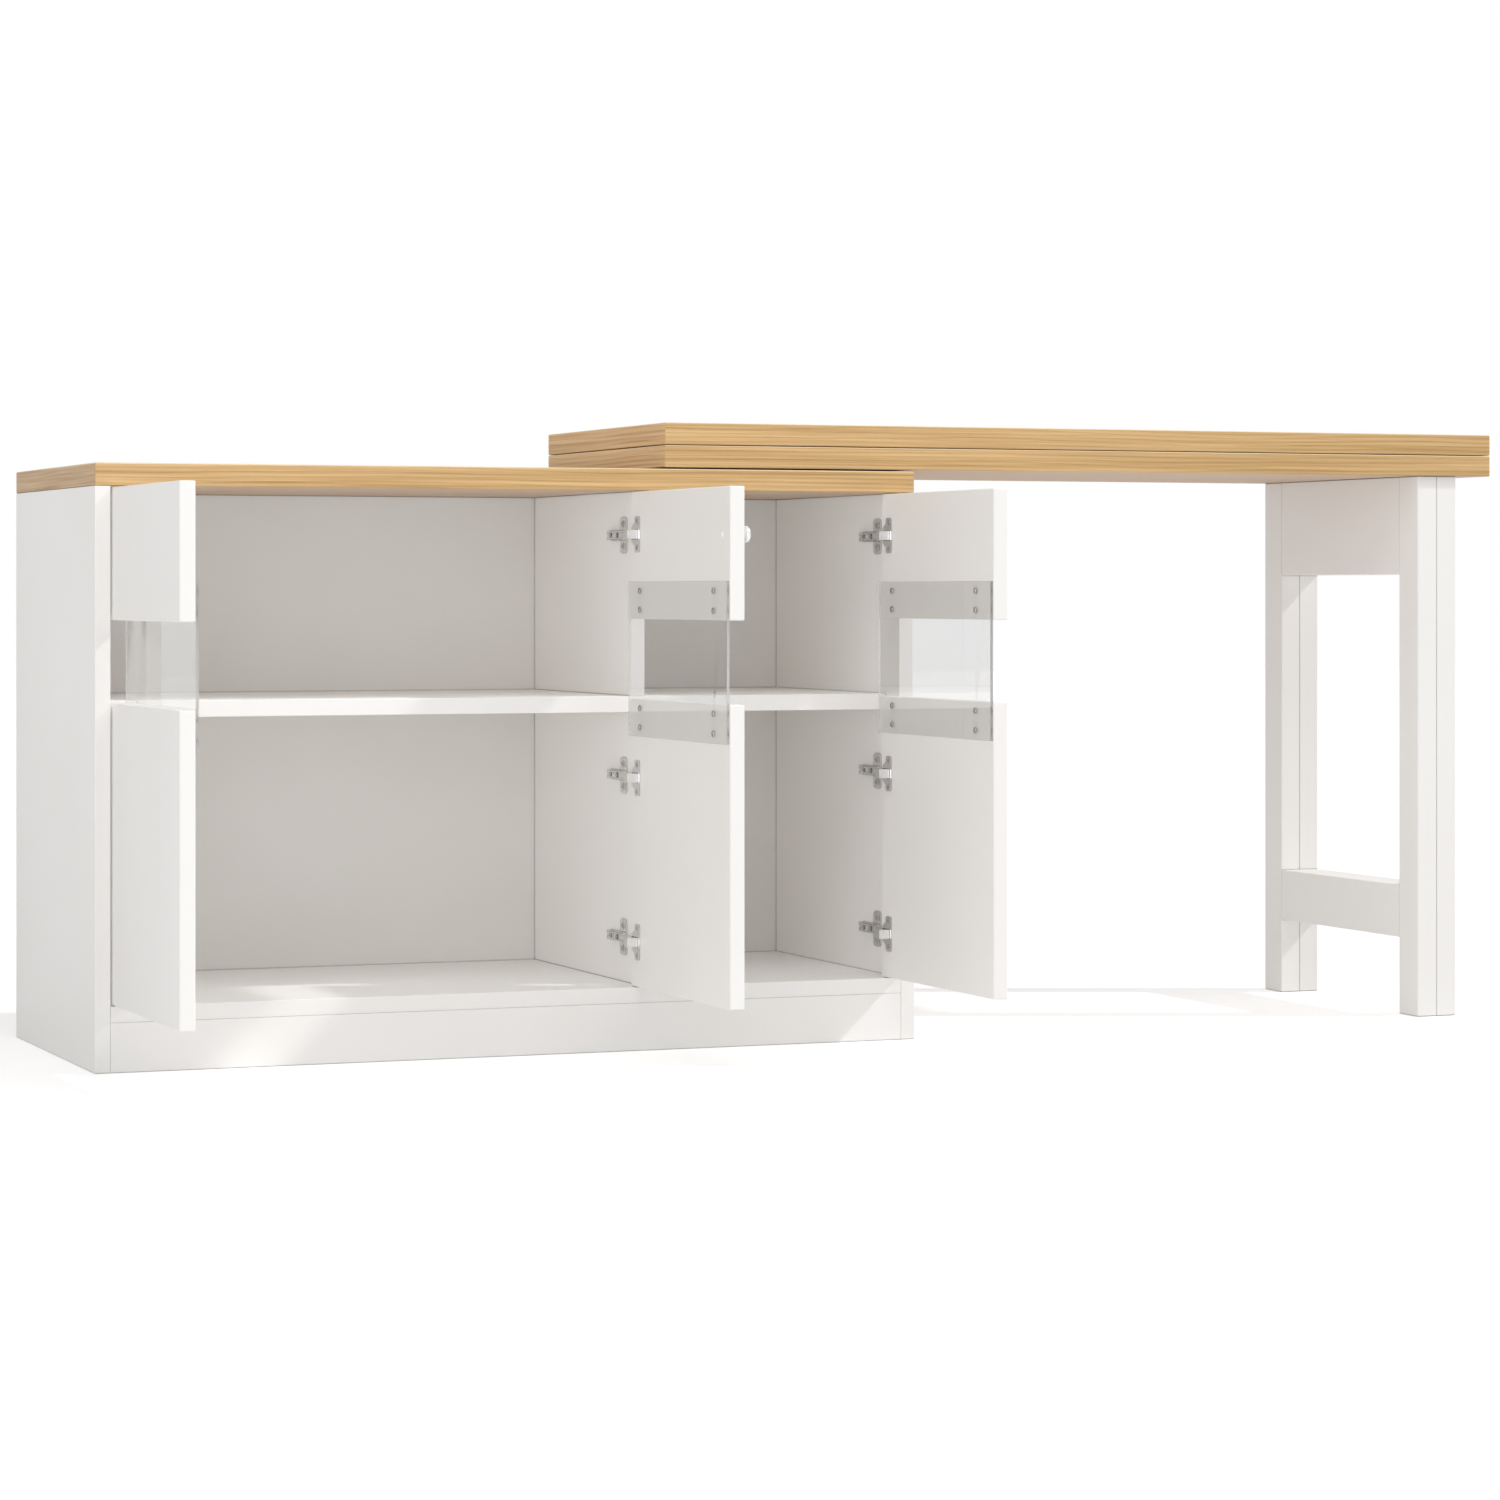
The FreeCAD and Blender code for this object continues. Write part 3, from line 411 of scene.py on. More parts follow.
def makeWood(name, look):
    material, tree, shader, coords = newMaterial(name)
    # on the veneered ends the grain runs across the board, in a tint of its own; the tint also paints light and
    # shade: paler on the bar's ends, darker on the cabinet top's
    parts = splitAxes(tree, coords, (-1000, 300)).outputs
    turned = addNode(tree, "ShaderNodeCombineXYZ", (-820, 300), {"X": parts["Y"], "Y": parts["X"], "Z": parts["Z"]})
    ownNormal = addNode(tree, "ShaderNodeTexCoord", (-1200, 500)).outputs["Normal"]
    sideways = splitAxes(tree, ownNormal, (-1000, 500)).outputs["X"]
    sideways = mathNode(tree, "ABSOLUTE", sideways, None, (-820, 500))
    atEnd = mathNode(tree, "GREATER_THAN", sideways, woodFaces["endAbove"], (-640, 500))
    along = addNode(tree, "ShaderNodeMix", (-640, 200), {0: atEnd, 4: coords, 5: turned.outputs[0]},
                    data_type="VECTOR")
    grain = useGroup(tree, grainGroup, {
        "Vector": along.outputs[1], "Early": look["early"], "Late": look["late"], "Pore": look["pore"],
        "Ring Scale": look["ringScale"], "Pore Depth": look["poreDepth"]})
    endColourAndLight = addNode(tree, "ShaderNodeVectorMath", (-300, 100),
                        {0: grain.outputs["Color"], 1: look["endTintAndLight"]}, operation="MULTIPLY")
    colour = mixColours(tree, atEnd, grain.outputs["Color"], endColourAndLight.outputs[0], (-150, 200))

    # the rounded edges that look up are painted pale: a painted highlight, as where light from above catches them
    normal = addNode(tree, "ShaderNodeNewGeometry", (-650, 600)).outputs["Normal"]
    lift = splitAxes(tree, normal, (-450, 600)).outputs["Z"]
    highlightFacingUp = mathNode(tree, "MULTIPLY", lift, woodFaces["highlightAndShadeRate"], (-280, 600), clamp=True)
    notFlat = mathNode(tree, "LESS_THAN", lift, woodFaces["flatAbove"], (-280, 700))
    edgeHighlightAndWear = mathNode(tree, "MULTIPLY", highlightFacingUp, notFlat, (-100, 600))
    edgeHighlightAndWear = mathNode(tree, "MULTIPLY", edgeHighlightAndWear, look["edgeAmount"], (50, 600))
    colour = mixColours(tree, edgeHighlightAndWear, colour, look["edgeHighlightAndWearColour"], (0, 200))

    # the face that looks down carries a dull backing sheet, as worktops do, and the grain shows through faintly
    down = mathNode(tree, "LESS_THAN", lift, woodFaces["backedBelow"], (-280, 450))
    backed = mathNode(tree, "MULTIPLY", down, woodFaces["backingCover"], (-100, 450))
    colour = mixColours(tree, backed, colour, look["backing"], (150, 350))
    # what it throws on the boards below it has a colour of its own
    path = addNode(tree, "ShaderNodeLightPath", (-280, 800))
    bounced = mathNode(tree, "MULTIPLY", down, path.outputs["Is Diffuse Ray"], (-100, 700))
    colour = mixColours(tree, bounced, colour, look["backingInLight"], (250, 400))

    # under the edges that look down, the joints are painted dark: a dark joint together with painted shade
    jointsAndCornerShade = useGroup(tree, jointsAndCornerShadeGroup, {"Reach": look["jointsAndCornerShadeReach"]}, (-500, 900))
    paintedShadeBelow = mathNode(tree, "MULTIPLY", lift, -woodFaces["highlightAndShadeRate"], (-280, 900), clamp=True)
    paintedShadeBelow = mathNode(tree, "MULTIPLY", paintedShadeBelow, woodFaces["jointsAndCornerShadeRate"], (-100, 900))
    depth = mathNode(tree, "MULTIPLY", jointsAndCornerShade.outputs["Mask"], paintedShadeBelow, (50, 900), clamp=True)
    colour = mixColours(tree, depth, colour, look["jointsAndCornerShade"], (400, 400))

    gloss = scaledBetween(tree, grain.outputs["Ring"], *look["roughness"], (-100, -100))
    matt = mathNode(tree, "MULTIPLY", down, woodFaces["backingMatt"], (-100, -250))
    feed(tree, shader, {"Base Color": colour, "Roughness": mathNode(tree, "ADD", gloss, matt, (100, -100))})
    bumpInto(tree, shader, grain.outputs["Height"], woodFaces["bump"], look["grainDepth"])
    return material


clearSheet = {
    "tint": (0.905, 0.912, 0.915, 1),
    "haze": (0.0, 0.035),
    "wipeMarks": (30.0, 6.0, 6.0),
    "broadAbove": 0.7,
    "sawnHaze": 0.35,
    "ior": 1.49,
    "lightTint": (0.97, 0.965, 0.96, 1),
}


def makeClearSheet(look):
    material, tree, shader, coords = newMaterial("clearAcrylic")
    wiped = stretchedNoise(tree, coords, look["wipeMarks"], 2.0, 4.0, (-700, -100), distortion=0.6)
    haze = scaledBetween(tree, wiped, *look["haze"], (-150, -100))
    # in its mesh the broad faces look along X, and all the others are sawn and matt
    ownNormal = addNode(tree, "ShaderNodeTexCoord", (-1200, -400)).outputs["Normal"]
    sideways = splitAxes(tree, ownNormal, (-1000, -400)).outputs["X"]
    sideways = mathNode(tree, "ABSOLUTE", sideways, None, (-820, -400))
    sawn = mathNode(tree, "LESS_THAN", sideways, look["broadAbove"], (-640, -400))
    sawn = mathNode(tree, "MULTIPLY", sawn, look["sawnHaze"], (-400, -400))
    feed(tree, shader, {"Base Color": look["tint"], "Transmission Weight": 1.0, "IOR": look["ior"],
                        "Roughness": mathNode(tree, "ADD", haze, sawn, (50, -100))})
    # lamp light and bounced light go straight through, as they do through real acrylic
    path = addNode(tree, "ShaderNodeLightPath", (300, 300))
    lit = mathNode(tree, "MAXIMUM", path.outputs["Is Shadow Ray"], path.outputs["Is Diffuse Ray"], (420, 300))
    through = addNode(tree, "ShaderNodeBsdfTransparent", (300, -400), {"Color": look["lightTint"]})
    either = addNode(tree, "ShaderNodeMixShader", (520, 100), {0: lit, 1: shader.outputs[0], 2: through.outputs[0]})
    feed(tree, tree.nodes["Material Output"], {"Surface": either.outputs[0]})
    return material


finishes = {
    "white_paint": makeCoated("satinWhitePaint", whitePaint),
    "oak_top": makeWood("oiledOak", oakTop),
    "beech": makeWood("plainBeech", beech),
    "nickel": makeCoated("polishedNickel", nickelPlate),
    "zinc_steel": makeCoated("zincSteel", zincSteel),
    "clear_plate": makeClearSheet(clearSheet),
}
sheetScrewMetal = makeCoated("sheetScrewSteel", sheetScrewSteel)

# a node keeps the slot it was packed with, and takes that slot's finish, but for these
doorNames = ("left", "middle", "right")
doorPaint = makeCoated("doorPaint", {**whitePaint, "jointsAndCornerShadeAmount": 0.0})  # the door panels get no painted corner shade, since the clear sheets lie on them
ownFinishes = {
    **{f"{name}_door_{part}_panel": doorPaint for name in doorNames for part in ("upper", "lower")},
    "back_panel": makeCoated("greyBackBoard", greyBoard),
    "cabinet_top": makeWood("oakOverPaint", oakOverPaint),
    # its head is filled and painted over, as the photo shows none
    "door_knob_screw": makeCoated("mattFiller", {**whitePaint, "jointsAndCornerShadeAmount": 0.0, "roughness": (0.85, 0.95)}),
}
for name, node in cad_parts.items():
    for slot in node.material_slots:
        slot.material = ownFinishes.get(name, finishes[slot.material.name])
print("materials made, and given to the nodes")


# modelling helpers: sizes are given in millimetres and made in metres

mm = 0.001
past = 2.0  # how far a cutting block stands out of what it cuts
easing = {"weldBefore": 0.01, "weldAfter": 0.004, "slivers": 0.002, "smoothBelow": 20.0}


def selectOnly(*pieces):
    bpy.ops.object.select_all(action="DESELECT")
    for piece in pieces:
        piece.select_set(True)
    bpy.context.view_layer.objects.active = pieces[0]


def applyPlace():
    bpy.ops.object.transform_apply(location=True, rotation=True, scale=True)
    return bpy.context.object


def choose(piece, kind, test):
    # opens edit mode with only the points, edges or faces that pass the test
    bpy.ops.object.mode_set(mode="EDIT")
    bpy.ops.mesh.select_mode(type=kind)
    bpy.ops.mesh.select_all(action="DESELECT")
    mesh = bmesh.from_edit_mesh(piece.data)
    for item in {"VERT": mesh.verts, "EDGE": mesh.edges, "FACE": mesh.faces}[kind]:
        if test(item):
            item.select_set(True)
    bmesh.update_edit_mesh(piece.data)


def endEditing():
    bpy.ops.object.mode_set(mode="OBJECT")


def pull(*move):
    bpy.ops.mesh.extrude_region_move(TRANSFORM_OT_translate={"value": [part * mm for part in move]})


def pointOutwards():
    bpy.ops.mesh.select_all(action="SELECT")
    bpy.ops.mesh.normals_make_consistent(inside=False)


def middleOf(edge):
    return (edge.verts[0].co + edge.verts[1].co) / 2 / mm


def runsAlong(edge, axis):
    run = edge.verts[1].co - edge.verts[0].co
    return abs(run[axis]) > 0.99 * run.length


def addBlock(low, high):
    low, high = Vector(low) * mm, Vector(high) * mm
    bpy.ops.object.select_all(action="DESELECT")
    bpy.ops.mesh.primitive_cube_add(size=1, location=(low + high) / 2, scale=high - low)
    return applyPlace()


def addSlab(x, y, half):
    # a block that reaches as far up as down from the hinge's level
    return addBlock((x[0], y[0], -half), (x[1], y[1], half))


def addRod(centre, radius, low, high, axis="y", sides=48):
    # a round bar along one axis, from low to high on it
    turn = {"x": (0, math.radians(90), 0), "y": (math.radians(90), 0, 0), "z": (0, 0, 0)}[axis]
    place = Vector(centre)
    place["xyz".index(axis)] = (low + high) / 2
    bpy.ops.object.select_all(action="DESELECT")
    bpy.ops.mesh.primitive_cylinder_add(vertices=sides, radius=radius * mm, depth=(high - low) * mm,
                                        location=place * mm, rotation=turn)
    return applyPlace()


def roundCorners(piece, axis, radius, segments=6, test=None):
    # bevels the edges that run along an axis
    choose(piece, "EDGE", lambda edge: runsAlong(edge, axis) and (test is None or test(middleOf(edge))))
    bpy.ops.mesh.bevel(offset=radius * mm, segments=segments, affect="EDGES", clamp_overlap=True)
    endEditing()
    return piece


def applyModifiers(piece):
    selectOnly(piece)
    for modifier in list(piece.modifiers):
        bpy.ops.object.modifier_apply(modifier=modifier.name)


def combine(piece, tools, operation):
    for tool in tools:
        step = piece.modifiers.new("combine", "BOOLEAN")
        step.operation = operation
        step.object = tool
        step.solver = "EXACT"
        applyModifiers(piece)
        bpy.data.objects.remove(tool)
    return piece


def weld(piece, doubles, slivers):
    bpy.context.view_layer.objects.active = piece
    bpy.ops.object.mode_set(mode="EDIT")
    bpy.ops.mesh.select_all(action="SELECT")
    bpy.ops.mesh.remove_doubles(threshold=doubles * mm)
    bpy.ops.mesh.dissolve_degenerate(threshold=slivers * mm)


def easeEdges(piece, width, segments=2, angle=30.0):
    # what the booleans left is welded first, since one tiny edge would stop the whole rounding
    weld(piece, easing["weldBefore"], easing["weldBefore"])
    endEditing()
    ease = piece.modifiers.new("ease", "BEVEL")
    ease.width = width * mm
    ease.segments = segments
    ease.limit_method = "ANGLE"
    ease.angle_limit = math.radians(angle)
    applyModifiers(piece)
    weld(piece, easing["weldAfter"], easing["slivers"])
    bpy.ops.mesh.normals_make_consistent(inside=False)
    endEditing()
    # below the first step of a rounded edge, so broad flat faces stay flat beside it
    bpy.ops.object.shade_smooth_by_angle(angle=math.radians(easing["smoothBelow"]))
    return piece


def turnProfile(points, steps=32):
    # a lathe: the profile's points are (radius, height), turned about the Z axis
    bpy.ops.object.select_all(action="DESELECT")
    bpy.ops.mesh.primitive_plane_add(size=mm, location=(points[0][0] * mm, 0, points[0][1] * mm))
    piece = applyPlace()
    bpy.ops.object.mode_set(mode="EDIT")
    bpy.ops.mesh.select_mode(type="VERT")
    bpy.ops.mesh.select_all(action="SELECT")
    bpy.ops.mesh.merge(type="CENTER")
    for here, there in zip(points, points[1:]):
        pull(there[0] - here[0], 0, there[1] - here[1])
    bpy.ops.mesh.select_all(action="SELECT")
    bpy.ops.mesh.spin(steps=steps, angle=math.tau, center=(0, 0, 0), axis=(0, 0, 1))
    bpy.ops.mesh.select_all(action="SELECT")
    bpy.ops.mesh.remove_doubles(threshold=0.001 * mm)
    bpy.ops.mesh.normals_make_consistent(inside=False)
    endEditing()
    return piece


def copyTo(piece, place):
    # a copy with its own mesh, moved by a matrix in metres
    selectOnly(piece)
    bpy.ops.object.duplicate(linked=False)
    twin = bpy.context.object
    twin.data.transform(place)
    if place.determinant() < 0:
        twin.data.flip_normals()
    return twin


def joinAs(name, pieces, body, slot, replaced):
    selectOnly(*pieces)
    if len(pieces) > 1:
        bpy.ops.object.join()
    whole = bpy.context.object
    whole.name = name
    whole.data.name = name
    whole.data.materials.clear()
    whole.data.materials.append(finishes[slot])
    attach(whole, body)
    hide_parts(replaced)
    return whole


# where each door hangs, read from the frame
hingeLine = {
    "pivotFromEdge": 9.0,
    "pivotFromFace": 8.7,
    "heights": (182.0, 455.0, 860.0),
    "carcassFace": {"left": -3.0, "middle": 7.8, "right": -3.0},
}


def doorPlaces(name):
    low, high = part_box(name + "_door_lower_panel")
    side = 1 if name == "left" else -1
    faceX = low.x if name == "left" else high.x
    pivotGap = (hingeLine["pivotFromEdge"] - hingeLine["pivotFromFace"]) * mm
    frontY = high.y - (hingeLine["pivotFromEdge"] + hingeLine["pivotFromFace"]) * mm
    # closed: x from the hinge edge along the front, y to the back; open: the same door swung out
    closed = Matrix(((side, 0, 0, faceX - side * pivotGap), (0, 1, 0, frontY), (0, 0, 1, 0), (0, 0, 0, 1)))
    opened = Matrix(((0, side, 0, faceX), (-1, 0, 0, high.y), (0, 0, 1, 0), (0, 0, 0, 1)))
    return closed, opened


closedPlace = {name: doorPlaces(name)[0] for name in doorNames}
openPlace = {name: doorPlaces(name)[1] for name in doorNames}


def at(x, y, z):
    return Matrix.Translation(Vector((x, y, z)) * mm)


# turns a screw's own Z axis to look out along one of the door's axes
turnTo = {
    "+x": Matrix.Rotation(math.radians(90), 4, "Y"),
    "+y": Matrix.Rotation(math.radians(-90), 4, "X"),
}

screwLook = {
    "plateScrew": {"radius": 5.2, "height": 2.5, "shank": 2.0, "bite": 17.0, "cross": 5.4, "crossDepth": 1.7},
    "mountScrew": {"radius": 4.0, "height": 2.0, "shank": 2.0, "bite": 13.0, "cross": 4.2, "crossDepth": 1.3},
    "armScrew": {"radius": 4.2, "height": 1.6, "shank": 2.4, "bite": 8.5, "cross": 4.4, "crossDepth": 1.2},
    "cupScrew": {"radius": 3.8, "height": 1.0, "shank": 1.8, "bite": 11.0, "cross": 3.9, "crossDepth": 0.8},
}

# tip is a share of the shank's radius, and rim and recessLift are shares of the head's height
screwShape = {"tip": 0.4, "tipLength": 1.5, "rim": 0.35, "recessLift": 0.2, "recessTaper": 0.55, "edge": 0.12}


def makeScrew(look):
    # a domed head on a short shank, with a cross recess that narrows as it goes in
    r, h = look["radius"], look["height"]
    rim, lift = screwShape["rim"], screwShape["recessLift"]
    dome = [(r * math.cos(turn), h * rim + h * (1 - rim) * math.sin(turn))
            for turn in (math.radians(angle) for angle in (0, 18, 36, 54, 72))]
    screw = turnProfile([(0, -look["bite"]), (look["shank"] * screwShape["tip"], -look["bite"]),
                         (look["shank"], -look["bite"] + screwShape["tipLength"]), (look["shank"], 0),
                         (r, 0), *dome, (0, h)])
    bpy.ops.object.select_all(action="DESELECT")
    bpy.ops.mesh.primitive_grid_add(x_subdivisions=3, y_subdivisions=3, size=look["cross"] * mm,
                                    location=(0, 0, h * (1 + lift) * mm))
    tool = applyPlace()
    arm = look["cross"] / 6 * mm
    choose(tool, "FACE", lambda face: min(map(abs, face.calc_center_median().xy)) > arm)
    bpy.ops.mesh.delete(type="FACE")
    bpy.ops.mesh.select_all(action="SELECT")
    pull(0, 0, -(h * lift + look["crossDepth"]))
    bpy.ops.transform.resize(value=(screwShape["recessTaper"], screwShape["recessTaper"], 1))
    pointOutwards()
    endEditing()
    combine(screw, [tool], "DIFFERENCE")
    return easeEdges(screw, screwShape["edge"], 1)


screws = {name: makeScrew(look) for name, look in screwLook.items()}


def copyScrew(kind, place, x, y, z, out):
    return copyTo(screws[kind], place @ at(x, y, z) @ turnTo[out])


mountLook = {
    "base": 2.4, "wingFront": 84.0, "wingRear": 114.0, "wingHalf": 30.0, "wingRound": 7.0,
    "spineHeight": 8.0, "spineHalf": 8.0, "spineRear": 165.0, "spineRound": 1.5,
    "slotFront": 88.0, "slotWidth": 3.0, "slotRound": 1.44, "slotFrom": 13.0, "slotTo": 25.0,
    "screwAt": 99.0, "screwHalf": 19.0, "padRadius": 6.2, "padSunk": 0.5, "padRise": 0.5,
    "grooveHalf": 3.2, "grooveDepth": 1.2, "edge": 0.35,
}


def makeMount(look, face):
    # a cross: two pressed wings up and down, and the raised spine that the arm lies on
    top = face + look["base"]
    crest = face + look["spineHeight"]
    wings = addSlab((face, top), (look["wingFront"], look["wingRear"]), look["wingHalf"])
    roundCorners(wings, 0, look["wingRound"])
    spine = addSlab((face, crest), (look["wingFront"], look["spineRear"]), look["spineHalf"])
    roundCorners(spine, 0, look["spineRound"], 3)
    pads = [addRod((0, look["screwAt"], side * look["screwHalf"]), look["padRadius"],
                   face + look["padSunk"], top + look["padRise"], "x") for side in (-1, 1)]
    combine(wings, [spine, *pads], "UNION")
    slotFront, slotRear = look["slotFront"] - look["slotWidth"] / 2, look["slotFront"] + look["slotWidth"] / 2
    tools = []
    for side in (-1, 1):
        near, far = sorted((side * look["slotFrom"], side * look["slotTo"]))
        slot = addBlock((face - past, slotFront, near), (top + past, slotRear, far))
        tools.append(roundCorners(slot, 0, look["slotRound"], 4))
    groove = addSlab((crest - look["grooveDepth"], crest + past),
                     (look["wingFront"] - past, look["spineRear"] + past), look["grooveHalf"])
    combine(wings, [*tools, groove], "DIFFERENCE")
    return easeEdges(wings, look["edge"])


armLook = {
    "thickness": 3.0, "half": 6.5, "drop": 2.2, "standoff": 19.3, "rear": 150.0,
    "bend": 1.6, "knuckle": 2.6, "screwsAt": (136.0, 106.0),
    "tailNotch": 5.0, "notchHalf": 4.0, "notchBevel": 3.8,
    "slotFront": 128.5, "slotRear": 137.0, "slotHalf": 2.8, "slotRound": 2.52,
    "panelHalf": 4.6, "panelDepth": 0.7, "panelRound": 1.5, "panelFromBend": 6.0, "panelFromTail": 26.0,
    "edge": 0.4,
}


def makeArm(look, face):
    # the goose-neck is drawn flat as one strip, edge by edge, then raised to its height
    t, half = look["thickness"], look["half"]
    pivotX, pivotY = hingeLine["pivotFromEdge"], hingeLine["pivotFromFace"]
    outX, backY = pivotX + look["standoff"], pivotY + look["standoff"]
    frontY = pivotY - look["drop"]
    seat = face + mountLook["spineHeight"]
    bpy.ops.object.select_all(action="DESELECT")
    bpy.ops.mesh.primitive_plane_add(size=1, location=Vector(((pivotX + outX) / 2, frontY + t / 2, -half)) * mm)
    bpy.context.object.scale = ((outX - pivotX) * mm, t * mm, 1)
    arm = applyPlace()
    # each step: the edge to pull, then how far
    strip = [
        ((outX, frontY + t / 2), (t, 0)),
        ((outX + t / 2, frontY + t), (0, backY - frontY - t)),
        ((outX + t / 2, backY), (0, t)),
        ((outX, backY + t / 2), (seat + t - outX, 0)),
        ((seat + t, backY + t / 2), (-t, 0)),
        ((seat + t / 2, backY + t), (0, look["rear"] - backY - t)),
    ]
    closeBy = 0.05
    for edgePlace, (pullX, pullY) in strip:
        choose(arm, "EDGE", lambda edge: (middleOf(edge).xy - Vector(edgePlace)).length < closeBy)
        pull(pullX, pullY, 0)
    bpy.ops.mesh.select_all(action="SELECT")
    bpy.ops.mesh.dissolve_limited(angle_limit=math.radians(1))
    bpy.ops.mesh.select_all(action="SELECT")
    pull(0, 0, 2 * half)
    pointOutwards()
    endEditing()
    roundCorners(arm, 2, look["bend"], 4, lambda place: place.x > outX + t / 2)
    knuckle = addRod((pivotX, pivotY, 0), look["knuckle"], -half, half, "z", 32)
    combine(arm, [knuckle], "UNION")
    # fishtail, fixing slot and a shallow pressed panel on the tail and on the neck's front
    surface = seat + t
    notch = addSlab((seat - past, surface + past),
                    (look["rear"] - look["tailNotch"], look["rear"] + look["tailNotch"]), look["notchHalf"])
    roundCorners(notch, 0, look["notchBevel"], 1, lambda place: place.y < look["rear"])
    slot = addSlab((seat - past, surface + past), (look["slotFront"], look["slotRear"]), look["slotHalf"])
    roundCorners(slot, 0, look["slotRound"], 5)
    panel = addSlab((surface - look["panelDepth"], surface + past),
                    (backY + t + look["panelFromBend"], look["rear"] - look["panelFromTail"]), look["panelHalf"])
    roundCorners(panel, 0, look["panelRound"], 4)
    front = addSlab((pivotX + look["panelFromBend"], outX),
                    (frontY - past, frontY + look["panelDepth"]), look["panelHalf"])
    roundCorners(front, 1, look["panelRound"], 4)
    combine(arm, [notch, slot, panel, front], "DIFFERENCE")
    return easeEdges(arm, look["edge"])


cupLook = {
    "centre": 22.5, "radius": 17.5, "wall": 1.0, "depth": 20.0, "doorThickness": 25.0,
    "noseHalf": 11.0, "flange": 1.2, "rim": 2.0, "step": 0.2,
    "earsAt": 31.5, "wingWidth": 25.0, "wingHalf": 30.0, "wingRound": 6.0,
    "screwOffset": 22.5, "padRadius": 5.4, "padSunk": 0.3, "padRise": 0.25,
    "slotEnd": 36.8, "slotHalf": 8.2, "edge": 0.25,
    # the white link that rides with the door and folds round the arm: its face, its back strip and two cheeks
    "linkBlocks": [((34.8, 5.6, -7.4), (36.4, 45.0, 7.4)), ((22.0, 43.6, -7.3), (36.2, 45.2, 7.3)),
                   ((22.4, 26.8, 6.85), (36.0, 44.8, 7.6)), ((22.4, 26.8, -7.6), (36.0, 44.8, -6.85))],
}


def makeCup(look):
    # a pressed flange with two ears, and the deep cup with a square mouth towards the hinge edge
    inner, surface = look["doorThickness"], look["doorThickness"] + look["flange"]
    floor = inner - look["depth"]
    centre = (look["centre"], 0, 0)
    ears = look["earsAt"]
    flange = addSlab((ears - look["wingWidth"] / 2, ears + look["wingWidth"] / 2), (inner, surface), look["wingHalf"])
    roundCorners(flange, 1, look["wingRound"])
    # each shape ends at its own level, as pressed steel does, and none only touches the next
    step, wall = look["step"], look["wall"]
    mouthEdge = look["centre"] - look["radius"] + step
    rim = addRod(centre, look["radius"] + look["rim"], inner + step / 2, surface - step)
    lip = addSlab((mouthEdge - step / 2, look["centre"]), (inner + step, surface - 2 * step),
                  look["noseHalf"] + look["rim"])
    bowl = addRod(centre, look["radius"], floor, inner + look["flange"] / 2)
    mouth = addSlab((mouthEdge, look["centre"]), (floor + step, inner + look["flange"] / 3), look["noseHalf"])
    pads = [addRod((ears, 0, side * look["screwOffset"]), look["padRadius"],
                   inner + look["padSunk"], surface + look["padRise"], sides=32) for side in (-1, 1)]
    combine(flange, [rim, lip, bowl, mouth, *pads], "UNION")
    slot = addSlab((mouthEdge + wall, look["slotEnd"]), (floor + wall, surface + 2 * past), look["slotHalf"])
    combine(flange, [slot], "DIFFERENCE")
    combine(flange, [addBlock(low, high) for low, high in look["linkBlocks"]], "UNION")
    return easeEdges(flange, look["edge"])


def placeHinges():
    faces = dict.fromkeys(hingeLine["carcassFace"].values())
    mounts = {face: makeMount(mountLook, face) for face in faces}
    arms = {face: makeArm(armLook, face) for face in faces}
    cup = makeCup(cupLook)
    cupTop = cupLook["doorThickness"] + cupLook["flange"]
    mountScrews = []
    for name in doorNames:
        door = name + "_door"
        face = hingeLine["carcassFace"][name]
        hung = [closedPlace[name] @ at(0, 0, height) for height in hingeLine["heights"]]
        swung = [openPlace[name] @ at(0, 0, height) for height in hingeLine["heights"]]
        joinAs(name + "_hinge_mounts", [copyTo(mounts[face], place) for place in hung],
               "cabinet", "nickel", name + "_hinge_plates")
        joinAs(name + "_hinge_goosenecks", [copyTo(arms[face], place) for place in hung],
               "cabinet", "nickel", name + "_hinge_arms")
        joinAs(name + "_hinge_bowls", [copyTo(cup, place) for place in swung],
               door, "nickel", name + "_hinge_cups")
        cupScrews = [copyScrew("cupScrew", place, cupLook["earsAt"], cupTop, side * cupLook["screwOffset"], "+y")
                     for place in swung for side in (-1, 1)]
        joinAs(name + "_cup_screws", cupScrews, door, "zinc_steel", name + "_hinge_cup_screws")
        wing = face + mountLook["base"]
        crest = face + mountLook["spineHeight"] + armLook["thickness"]
        for place in hung:
            for side in (-1, 1):
                along, up = mountLook["screwAt"], side * mountLook["screwHalf"]
                mountScrews.append(copyScrew("mountScrew", place, wing, along, up, "+x"))
            for along in armLook["screwsAt"]:
                mountScrews.append(copyScrew("armScrew", place, crest, along, 0, "+x"))
    joinAs("hinge_mounting_screws", mountScrews, "cabinet", "zinc_steel", "hinge_mount_screws")
    for tool in [*mounts.values(), *arms.values(), cup]:
        bpy.data.objects.remove(tool)


plateLook = {
    "inset": 1.5, "width": 452.667, "low": 524.3, "high": 781.7, "thickness": 5.0, "air": 0.3,
    "hole": 2.4, "screwsAcross": (55.0, 392.667), "screwsUp": (539.9, 571.5, 734.5, 766.1),
    "edge": 0.3, "edgeAngle": 60.0,
}


